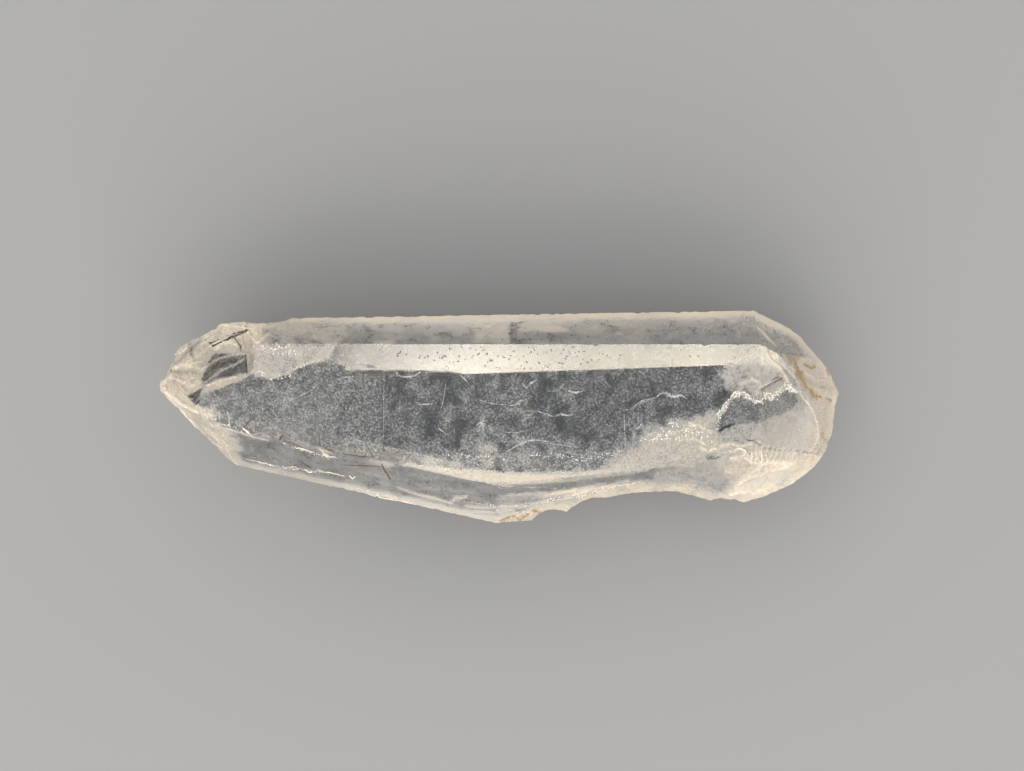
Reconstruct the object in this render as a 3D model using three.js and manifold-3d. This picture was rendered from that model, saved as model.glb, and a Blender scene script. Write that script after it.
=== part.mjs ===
/**
 * A single natural quartz crystal that lies on one of its prism faces.
 *
 * The crystal is a six-sided column with its long (c) axis along X. The face on top and the
 * face it rests on are level; the other four prism faces stand at 60 degrees to them. The
 * front side bulges: it is made of two growth sections that meet near the middle. The left
 * end is broken to a blunt tip, the right end keeps a damaged rhombohedral point, and chips
 * are missing along the lower front edge.
 *
 * Units are millimetres, +Z is up, and +X points to the rhombohedral point. The origin is
 * the centre of the bounding box's base.
 */
import * as THREE from "three";
import { mergeVertices } from "three/addons/utils/BufferGeometryUtils.js";
import Module from "manifold-3d";

// ---------------------------------------------------------------- driving dimensions
const HEIGHT = 18.9; // from the resting face to the top face
const PRISM_LEAN = 30; // degrees that a side face's normal leans from the horizon
const RHOMB_TILT = 38.2; // degrees from a prism face to the rhombohedral face next to it
const BLANK = { length: 100, width: 40 }; // the block that every facet is cut from
const STEP = { x: -14.2, depth: 0.12 }; // the top face is one growth step lower to the left
const CRACK = { length: 4.6, width: 0.24, depth: 3.2, turn: 24, centre: [-33.3, 9.6, 15.2] };
const RIBS = { height: 0.22, spacing: 0.8, strips: 4 }; // growth ribs on the ledge's wall

const CUTTER = 140; // size of a cutter that takes a whole side off
const BREAK_CUTTER = 46; // size of a cutter that leaves a broken surface
const BREAK_CELL = 0.65; // spacing of the relief on a broken surface
const SWELLS = [
  { share: 0.65, spacing: 3.6 }, // broad lumps of a broken surface
  { share: 0.35, spacing: 1.5 }, // finer lumps on them
];
const RIPPLE_SPACING = 2.4; // from one shell-like ripple to the next
const DISH_REACH = 4; // how far the hollow of a shell-shaped break spreads
const CHIP_SWELLS = 4; // how closely lumps follow each other round a chip
const MERGE = 1e-4; // vertices closer than this are one vertex

const QUARTZ = { color: 0xe9e4da, roughness: 0.25, metalness: 0 };

// ---------------------------------------------------------------- repeatable roughness
/** A number from 0 to 1 that depends only on three whole numbers. */
function lattice(i, j, k) {
  const s = Math.sin(i * 127.1 + j * 311.7 + k * 74.7) * 43758.5453;
  return s - Math.floor(s);
}

/** Smooth noise from -1 to 1 at a point in space. */
function noise(x, y, z) {
  const cell = [x, y, z].map(Math.floor);
  const t = [x, y, z].map((v, n) => v - cell[n]).map((f) => f * f * (3 - 2 * f));
  let sum = 0;
  for (let corner = 0; corner < 8; corner++) {
    const step = [corner & 1, (corner >> 1) & 1, corner >> 2];
    const weight = step.reduce((w, s, n) => w * (s ? t[n] : 1 - t[n]), 1);
    sum += weight * lattice(cell[0] + step[0], cell[1] + step[1], cell[2] + step[2]);
  }
  return 2 * sum - 1;
}

/** Lumps of a broken surface: broad swells with finer ones on them, from -1 to 1. */
function lumps(x, y, seed) {
  const swell = ({ share, spacing }) => share * noise(x / spacing, y / spacing, seed / spacing);
  return SWELLS.reduce((sum, size) => sum + swell(size), 0);
}

/** Shell-like ripples round the middle of a break, from -1 to 1. */
function ripples(x, y) {
  return Math.sin((2 * Math.PI * Math.hypot(x, y)) / RIPPLE_SPACING);
}

/** A shell-shaped hollow at the middle of a break, from 0 to 1. */
function hollow(x, y) {
  return Math.exp(-(x * x + y * y) / DISH_REACH ** 2);
}

// ---------------------------------------------------------------- solids and cutters
const wasm = await Module();
wasm.setup();

/** A closed three.js geometry as a solid that can be cut. */
function solidOf(geometry) {
  geometry.deleteAttribute("normal");
  geometry.deleteAttribute("uv");
  const merged = mergeVertices(geometry, MERGE);
  return new wasm.Manifold(
    new wasm.Mesh({
      numProp: 3,
      vertProperties: merged.getAttribute("position").array,
      triVerts: new Uint32Array(merged.index.array),
    }),
  );
}

/** A cut solid as a flat-shaded three.js geometry. */
function geometryOf(solid) {
  const mesh = solid.getMesh();
  const geometry = new THREE.BufferGeometry();
  geometry.setAttribute("position", new THREE.BufferAttribute(mesh.vertProperties, 3));
  geometry.setIndex(new THREE.BufferAttribute(mesh.triVerts, 1));
  const flat = geometry.toNonIndexed();
  flat.computeVertexNormals();
  return flat;
}

/**
 * A slab that takes off everything outside a plane. Its cutting face lies on the plane and
 * is moved along the normal by relief(u, v), in millimetres.
 */
function sideCutter(plane, { size = CUTTER, cells = 1, relief = () => 0 } = {}) {
  const slab = new THREE.BoxGeometry(size, size, size, cells, cells, 1);
  slab.translate(0, 0, size / 2);
  const position = slab.getAttribute("position");
  for (let i = 0; i < position.count; i++) {
    if (position.getZ(i) === 0) {
      position.setZ(i, relief(position.getX(i), position.getY(i)));
    }
  }
  const turn = new THREE.Quaternion().setFromUnitVectors(new THREE.Vector3(0, 0, 1), plane.normal);
  slab.applyQuaternion(turn);
  slab.translate(...plane.through.toArray());
  return solidOf(slab);
}

/** The plane through a point whose outward normal has this azimuth and elevation, in degrees. */
function facing(azimuth, elevation, through) {
  const [turn, lift] = [azimuth, elevation].map(THREE.MathUtils.degToRad);
  const level = Math.cos(lift);
  return {
    normal: new THREE.Vector3(level * Math.cos(turn), level * Math.sin(turn), Math.sin(lift)),
    through: new THREE.Vector3(...through),
  };
}

/** The plane through three corners, facing away from the crystal's middle. */
function facetThrough(a, b, c) {
  const corners = [a, b, c].map((p) => new THREE.Vector3(...p));
  const plane = new THREE.Plane().setFromCoplanarPoints(...corners);
  const middle = new THREE.Vector3(0, 0, HEIGHT / 2);
  if (plane.distanceToPoint(middle) > 0) plane.negate();
  const through = corners[0].clone().add(corners[1]).add(corners[2]).divideScalar(3);
  return { normal: plane.normal, through };
}

/** A cutter that leaves a broken surface; lump, ripple and dish are heights in millimetres. */
function breakCutter({ plane, lump, seed, ripple = 0, dish = 0 }) {
  return sideCutter(plane, {
    size: BREAK_CUTTER,
    cells: Math.round(BREAK_CUTTER / BREAK_CELL),
    relief: (u, v) => lump * lumps(u, v, seed) + ripple * ripples(u, v) - dish * hollow(u, v),
  });
}

/** A cutter that leaves a comb of growth ribs, each with one gentle and one steep side. */
function ribCutter(plane, { height, spacing, strips }) {
  return sideCutter(plane, {
    size: BREAK_CUTTER,
    cells: Math.round((BREAK_CUTTER / spacing) * strips),
    relief: (u) => height * (Math.ceil(u / spacing) - u / spacing),
  });
}

/** The region that lies outside every one of several planes. */
function outsideAll(...cutters) {
  return cutters.reduce((region, cutter) => region.intersect(cutter));
}

/** A rough ball that takes a shell-shaped chip off an edge. */
function chipCutter({ centre, radii, rough, seed, turn = 0, detail = 9 }) {
  const ball = new THREE.IcosahedronGeometry(1, detail);
  const position = ball.getAttribute("position");
  const point = new THREE.Vector3();
  for (let i = 0; i < position.count; i++) {
    point.fromBufferAttribute(position, i);
    const [x, y, z] = point.toArray().map((v) => v * CHIP_SWELLS);
    point.multiplyScalar(1 + rough * noise(x + seed, y, z));
    position.setXYZ(i, ...point.toArray());
  }
  ball.scale(...radii);
  ball.rotateZ(THREE.MathUtils.degToRad(turn));
  ball.translate(...centre);
  return solidOf(ball);
}

// ---------------------------------------------------------------- the crystal's corners
// The broken left end.
const TOP_LEFT = [-37.7, 2.6, HEIGHT];
const TIP = [-43.2, 3.9, 10.5];
const LEFT_SHOULDER = [-40.5, 7.9, 13.3];
const LEFT_REAR = [-37.7, 10.6, 12.0];
const LEFT_REAR_END = [-34.3, 11.8, 12.0];
const LEFT_CHEEK = [-34.8, -5.4, 9.5];
const SCAR_FOOT = [-30.4, 5.4, HEIGHT];
const SCAR_HEAD = [-29.9, 8.8, HEIGHT];

// The point at the right.
const TOP_RIGHT_REAR = [31.3, 8.8, HEIGHT];
const TOP_RIGHT = [31.4, 0, HEIGHT];
const BOTTOM_RIGHT = [35.5, 0, 0];
const RIGHT_SHOULDER = [37.9, 10.1, 6.9];
const RIGHT_BROW = [40.7, 6.9, 7.9];
const POINT_REAR = [42.4, 4.2, 8.6];
const RIDGE_TURN = [34.5, 6.7, 16.5];
const RIDGE_END = [38.8, 2.5, 13.1];
const RIDGE_FOOT = [40.5, 6.4, 8.0];
const BEVEL = [38.0, 1.8, 13.7];
const POINT = [42.8, 3.3, 7.6];
const RIGHT_CHEEK = [41.4, -1.7, 10.2];
const RIGHT_JAW = [39.2, -6.0, 11.0];
const FRONT_KNEE = [36.9, -8.3, 9.9];
const FRONT_HEEL = [30.5, -11.1, 8.7];

// The ledge at the front of the point, where ribs show.
const LEDGE_START = [27.2, -4.9, HEIGHT];
const LEDGE_BEND = [30.7, -3.2, HEIGHT];
const LEDGE_END = [37.5, -4.4, 14.1];
const LEDGE_FOOT = [30.5, -5.9, 14.0];
const LEDGE_FOOT_END = [36.3, -6.0, 12.3];

// The worn edge round both ends, seen from above; between them it stays clear of the faces.
const WORN_EDGE = [
  [-33.3, -5.9],
  [-41.5, 2.4],
  [-42.3, 3.5],
  [-42.3, 4.1],
  [-41.3, 4.5],
  [-40.3, 6.5],
  [-39.8, 7.2],
  [-40.0, 7.7],
  [-38.9, 9.4],
  [-37.1, 10.4],
  [-35.5, 11.0],
  [-34.5, 11.8],
  [-30.0, 14.0],
  [31.6, 14.0],
  [31.7, 13.2],
  [36.2, 10.9],
  [37.6, 9.9],
  [38.4, 8.8],
  [40.7, 6.0],
  [41.9, 4.1],
  [41.7, 3.8],
  [42.4, 3.1],
  [41.6, 1.3],
  [41.5, 0.1],
  [41.1, -2.2],
  [40.4, -3.3],
  [40.4, -3.7],
  [38.9, -6.1],
  [37.1, -8.0],
  [34.4, -9.3],
  [31.8, -10.5],
  [30.4, -11.1],
  [28.0, -14.0],
  [-20.0, -14.0],
];

// ---------------------------------------------------------------- the faces
// The long prism faces: the azimuth of each normal, its elevation, and a point of the face.
const PRISM_FACES = [
  [90, PRISM_LEAN, TOP_RIGHT_REAR],
  [91.95, -PRISM_LEAN, [0, 5.42, 0]],
  [257.8, PRISM_LEAN, [-16.9, -4.75, HEIGHT]],
  [277, PRISM_LEAN, [3.4, -7.9, HEIGHT]],
  [256.9, -PRISM_LEAN, [-16.9, -3.3, 0]],
  [271.7, -PRISM_LEAN, [2.5, -7.1, 0]],
];

// The growth faces of the point, and the bevel at its tip, in the same way.
const POINT_FACES = [
  [47.8, 23.1, TOP_RIGHT_REAR],
  [0, 90 - RHOMB_TILT, TOP_RIGHT],
  [0, RHOMB_TILT - 90, BOTTOM_RIGHT],
  [8, 37.6, BEVEL],
];

// The worn facets of the point: two corners, and a spot where the facet nears the base.
const WORN_FACETS = [
  [RIDGE_TURN, RIDGE_END, RIDGE_FOOT],
  [RIGHT_SHOULDER, RIGHT_BROW, [33, 6, 0]],
  [RIGHT_BROW, POINT_REAR, [35, 4.5, 0]],
  [POINT, RIGHT_CHEEK, [34, 0, 0]],
  [RIGHT_CHEEK, RIGHT_JAW, [34, -3, 0]],
  [RIGHT_JAW, FRONT_KNEE, [32, -5, 0]],
  [FRONT_KNEE, FRONT_HEEL, [29, -6, 0]],
];

// The broken surfaces of the left end, each a plane and the relief on it.
const LEFT_BREAKS = [
  { plane: facing(190, 29.5, TOP_LEFT), lump: 0.3, ripple: 0.06, seed: 25 },
  { plane: facing(226.3, 19.7, TOP_LEFT), lump: 0.14, seed: 36 },
  { plane: facetThrough(LEFT_REAR_END, LEFT_REAR, [-31, 5, 0]), lump: 0.4, seed: 47 },
  { plane: facetThrough(LEFT_REAR, LEFT_SHOULDER, [-33, 4, 0]), lump: 0.45, seed: 58 },
  { plane: facetThrough(LEFT_SHOULDER, TIP, [-35, 3, 0]), lump: 0.35, seed: 69 },
  { plane: facetThrough(TIP, LEFT_CHEEK, [-34, 0, 0]), lump: 0.2, seed: 72 },
];

// The scar behind the left tip: its floor slopes to the rear, its wall stands at its right.
const SCAR_FLOOR = {
  plane: facetThrough(TOP_LEFT, SCAR_FOOT, LEFT_REAR_END),
  lump: 0.4,
  ripple: 0.07,
  dish: 0.5,
  seed: 3,
};
const SCAR_WALL = { plane: facing(171.6, 18, SCAR_HEAD), lump: 0.25, dish: 0.5, seed: 14 };

// The ledge: a ribbed wall, a floor, and the break that starts it.
const LEDGE_WALL = facetThrough(LEDGE_BEND, LEDGE_END, LEDGE_FOOT);
const LEDGE_FLOOR = {
  plane: facetThrough(LEDGE_FOOT, LEDGE_FOOT_END, FRONT_HEEL),
  lump: 0.15,
  seed: 80,
};
const LEDGE_HEAD = { plane: facing(-62.1, 30, LEDGE_START), lump: 0.3, seed: 91 };

// Chips along the lower front edge, and the last one in the upper rear edge.
const CHIPS = [
  { centre: [6.6, -14.8, 9], radii: [3.2, 3.5, 9], rough: 0.06, seed: 2 },
  { centre: [12.3, -14.9, 9], radii: [5.2, 5.4, 13], rough: 0.05, seed: 5 },
  { centre: [18.4, -15.0, 9], radii: [11.5, 6.0, 14], rough: 0.035, seed: 8, detail: 14 },
  { centre: [27.2, -15.2, 8], radii: [7, 4.9, 12], rough: 0.05, seed: 11 },
  { centre: [-29.6, 13.3, 14.2], radii: [4.4, 2.0, 4.4], turn: -4, rough: 0.06, seed: 14 },
];

// ---------------------------------------------------------------- the crystal
/** What the worn edge leaves of the blank, at full height. */
function wornBlank() {
  const block = new THREE.BoxGeometry(BLANK.length, BLANK.width, HEIGHT);
  block.translate(0, 0, HEIGHT / 2);
  const edge = new THREE.Shape(WORN_EDGE.map(([x, y]) => new THREE.Vector2(x, y)));
  const worn = new THREE.ExtrudeGeometry(edge, { depth: HEIGHT, bevelEnabled: false });
  return solidOf(block).intersect(solidOf(worn));
}

/** The low growth step across the top face. */
function growthStep() {
  const layer = new THREE.BoxGeometry(BLANK.length, BLANK.width, HEIGHT);
  layer.translate(STEP.x - BLANK.length / 2, 0, HEIGHT * 1.5 - STEP.depth);
  return solidOf(layer);
}

/** The open crack in the floor of the scar. */
function crack() {
  const slit = new THREE.BoxGeometry(CRACK.length, CRACK.width, CRACK.depth);
  slit.rotateZ(THREE.MathUtils.degToRad(CRACK.turn));
  slit.translate(...CRACK.centre);
  return solidOf(slit);
}

/** The whole crystal as one solid. */
function crystal() {
  const cutters = [
    ...PRISM_FACES.map((face) => sideCutter(facing(...face))),
    ...POINT_FACES.map((face) => sideCutter(facing(...face))),
    ...WORN_FACETS.map((corners) => sideCutter(facetThrough(...corners))),
    ...LEFT_BREAKS.map(breakCutter),
    outsideAll(breakCutter(SCAR_FLOOR), breakCutter(SCAR_WALL)),
    outsideAll(
      ribCutter(LEDGE_WALL, RIBS),
      breakCutter(LEDGE_FLOOR),
      breakCutter(LEDGE_HEAD),
    ),
    ...CHIPS.map(chipCutter),
    growthStep(),
    crack(),
  ];
  return cutters.reduce((body, cutter) => body.subtract(cutter), wornBlank());
}

// ---------------------------------------------------------------- the model
const specimen = new THREE.Group();
const quartz = new THREE.Mesh(geometryOf(crystal()), new THREE.MeshStandardMaterial(QUARTZ));
quartz.name = "quartz_crystal";

// The facets are placed from the crystal's middle; the origin goes to its base's centre.
quartz.geometry.computeBoundingBox();
const middle = quartz.geometry.boundingBox.getCenter(new THREE.Vector3());
quartz.position.set(-middle.x, -middle.y, 0);
specimen.add(quartz);

export default specimen;
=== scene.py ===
"""Quartz crystal specimen: a fine weathered skin on the solid crystal, with the flaws inside it.

Lengths are in mm and angles in degrees unless a line says otherwise. Plan means seen from above.
"""
import logging
import math
from dataclasses import astuple, dataclass, field, replace
from enum import Enum

import bmesh
import bpy
import numpy as np
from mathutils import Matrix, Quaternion, Vector, noise
from mathutils.bvhtree import BVHTree
from mathutils.geometry import delaunay_2d_cdt
from mathutils.kdtree import KDTree


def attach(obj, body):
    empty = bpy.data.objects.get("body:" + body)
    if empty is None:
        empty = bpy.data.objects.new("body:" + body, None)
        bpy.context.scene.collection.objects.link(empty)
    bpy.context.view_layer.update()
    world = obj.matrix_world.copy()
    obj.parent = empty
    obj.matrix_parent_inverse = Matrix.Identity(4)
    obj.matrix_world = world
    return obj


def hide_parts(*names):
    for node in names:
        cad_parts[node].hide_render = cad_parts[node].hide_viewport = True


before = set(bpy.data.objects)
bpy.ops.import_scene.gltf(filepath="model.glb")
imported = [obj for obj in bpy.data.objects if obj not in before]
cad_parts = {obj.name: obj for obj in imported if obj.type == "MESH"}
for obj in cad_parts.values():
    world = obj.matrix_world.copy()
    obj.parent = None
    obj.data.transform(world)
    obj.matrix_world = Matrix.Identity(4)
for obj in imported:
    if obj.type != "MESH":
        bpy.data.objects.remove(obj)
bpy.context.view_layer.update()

log = logging.getLogger("quartz")

MM = 0.001
SOLID_NODE = "quartz_crystal"
BODY = "root"
IOR_QUARTZ = 1.544
NOTHING = 1e-12
SAME_SPOT = 1e-7  # in metres: points of the solid closer than this are one
SAME_PLACE = 1e-9
PATTERN_STEPS = (7.31, 3.17, 5.77)  # how far each seed shifts a noise
LAYER_FADE, LAYER_STEP = 1.0, 2.0  # how much weaker and finer each layer of a noise is
NOISE_DETAIL = 2.0
CREASE_FALL = 1.5
SKEW = (0.31, 0.52, 0.79)  # a direction that no facet faces
# These sockets share their names with others of their node, so they are reached by place.
MIX_SHARE, MIX_FIRST, MIX_SECOND, MIX_RESULT = 0, 6, 7, 2
RANGE_VALUE, RANGE_FROM, RANGE_TO, RANGE_LOW, RANGE_HIGH, RANGE_RESULT = 6, 7, 8, 9, 10, 1

Point2 = tuple[float, float]
Point3 = tuple[float, float, float]
Colour = tuple[float, float, float]
Span = tuple[float, float]
Line = tuple[Point2, ...]
Triangle = tuple[int, int, int]
Socket = bpy.types.NodeSocket


class Facet(Enum):
    """The crystal's natural faces; BROKEN stands for every fracture surface."""

    TOP = 0
    BOTTOM = 1
    REAR_HIGH = 2
    REAR_LOW = 3
    FRONT_HIGH_LEFT = 4
    FRONT_LOW_LEFT = 5
    FRONT_HIGH_RIGHT = 6
    FRONT_LOW_RIGHT = 7
    POINT_HIGH = 8
    POINT_REAR = 9
    POINT_RIDGE = 10
    POINT_BEVEL = 11
    POINT_REAR_LOW = 12
    POINT_FRONT_LOW = 13
    SHOULDER_LOW = 14
    STEP = 15
    BROKEN = 16


# Azimuth and elevation of each face's normal, and the face's distance from the origin.
FACET_PLANES: dict[Facet, tuple[Point3, ...]] = {
    Facet.TOP: ((0.0, 90.0, 18.9), (180.0, 89.98, 18.78)),
    Facet.BOTTOM: ((0.0, -90.0, 0.0),),
    Facet.REAR_HIGH: ((90.0, 30.01, 17.141),),
    Facet.REAR_LOW: ((91.95, -29.98, 4.762),),
    Facet.FRONT_HIGH_LEFT: ((-102.2, 29.99, 16.511),),
    Facet.FRONT_LOW_LEFT: ((-103.08, -30.01, 6.036),),
    Facet.FRONT_HIGH_RIGHT: ((-83.01, 29.98, 16.518),),
    Facet.FRONT_LOW_RIGHT: ((-88.32, -29.95, 6.144),),
    Facet.POINT_HIGH: ((0.0, 51.79, 34.225),),
    Facet.POINT_REAR: ((47.8, 23.1, 32.756),),
    Facet.POINT_RIDGE: ((24.97, 32.0, 37.634),),
    Facet.POINT_BEVEL: ((8.0, 37.6, 38.319),),
    Facet.POINT_REAR_LOW: ((28.85, -42.26, 23.513), (22.3, -38.06, 26.81)),
    Facet.POINT_FRONT_LOW: ((-35.75, -34.46, 22.663),),
    Facet.SHOULDER_LOW: ((-60.5, -30.76, 16.667),),
    Facet.STEP: ((180.0, 0.0, 14.278),),
}
FACET_TURN = 0.9993  # least cosine between a triangle's normal and its facet's
FACET_SLIP = 0.06  # most distance between a triangle and its facet's plane


class Side(Enum):
    """Which faces a patch of weathering may touch."""

    TOP_ONLY = 0
    UPWARD = 1
    DOWNWARD = 2


@dataclass(frozen=True)
class Patch:
    """A weathered area drawn in plan: a closed outline with soft, ragged limits."""

    outline: Line
    frost: float
    milk: float
    soft: float = 0.6
    ragged: float = 0.6
    side: Side = Side.UPWARD


@dataclass(frozen=True)
class Streak:
    """A weathered line drawn in plan, and the frost, milk and stain that it leaves on the skin."""

    path: Line
    width: float
    frost: float = 0.0
    milk: float = 0.0
    stain: float = 0.0
    ragged: float = 0.25


@dataclass(frozen=True)
class Crease:
    """A crest or groove drawn in plan; a positive height stands out. The last number paints it paler or
    darker: painted highlight with frosted wear on crests, painted shade in grooves.
    """

    path: Line
    width: float
    height: float
    painted_light_and_wear: float = 0.25


@dataclass(frozen=True)
class Film:
    """One thin flaw drawn in plan: how wide, how deep under the skin, how thick, how it leans."""

    path: Line
    width: float
    depth: float = 0.6
    thickness: float = 0.03
    lean: float = 0.0


@dataclass(frozen=True)
class Weathering:
    """How frosted and milky a facet is, and how milky its margin along the rim is."""

    frost: float
    milk: float
    margin: float = 0.0
    reach: float = 1.5


@dataclass(frozen=True)
class Grain:
    """A layered noise of about -1 to 1: the size of its lumps, its pattern and its layers."""

    pitch: float
    seed: float
    octaves: int = 3
    stretch: Point3 = (1.0, 1.0, 1.0)

    def at(self, points: np.ndarray) -> np.ndarray:
        """Sample the noise.

        Args:
            points: Positions, one row each.

        Returns:
            One value a point.
        """
        shift = Vector([self.seed * step for step in PATTERN_STEPS])
        return np.array([
            noise.fractal(Vector(p) / self.pitch + shift, LAYER_FADE, LAYER_STEP, self.octaves)
            for p in points * self.stretch
        ])


# Noises of the skin's shape, then those of its masks.
NICKS = Grain(0.9, 3.0)
LUMPS = Grain(2.1, 8.0)
CLOUD = Grain(3.2, 11.0)
RAG = Grain(1.1, 5.0, 4)
CLUMPS = Grain(0.8, 23.0, 2)
SWIRL = Grain(2.4, 17.0)
HAZE = Grain(1.7, 43.0, 4, (1.0, 0.7, 1.0))
BARS = Grain(2.0, 47.0, 3, (1.0, 0.2, 1.0))
BLOTS = Grain(1.3, 31.0, 4, (0.45, 1.0, 1.0))


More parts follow.
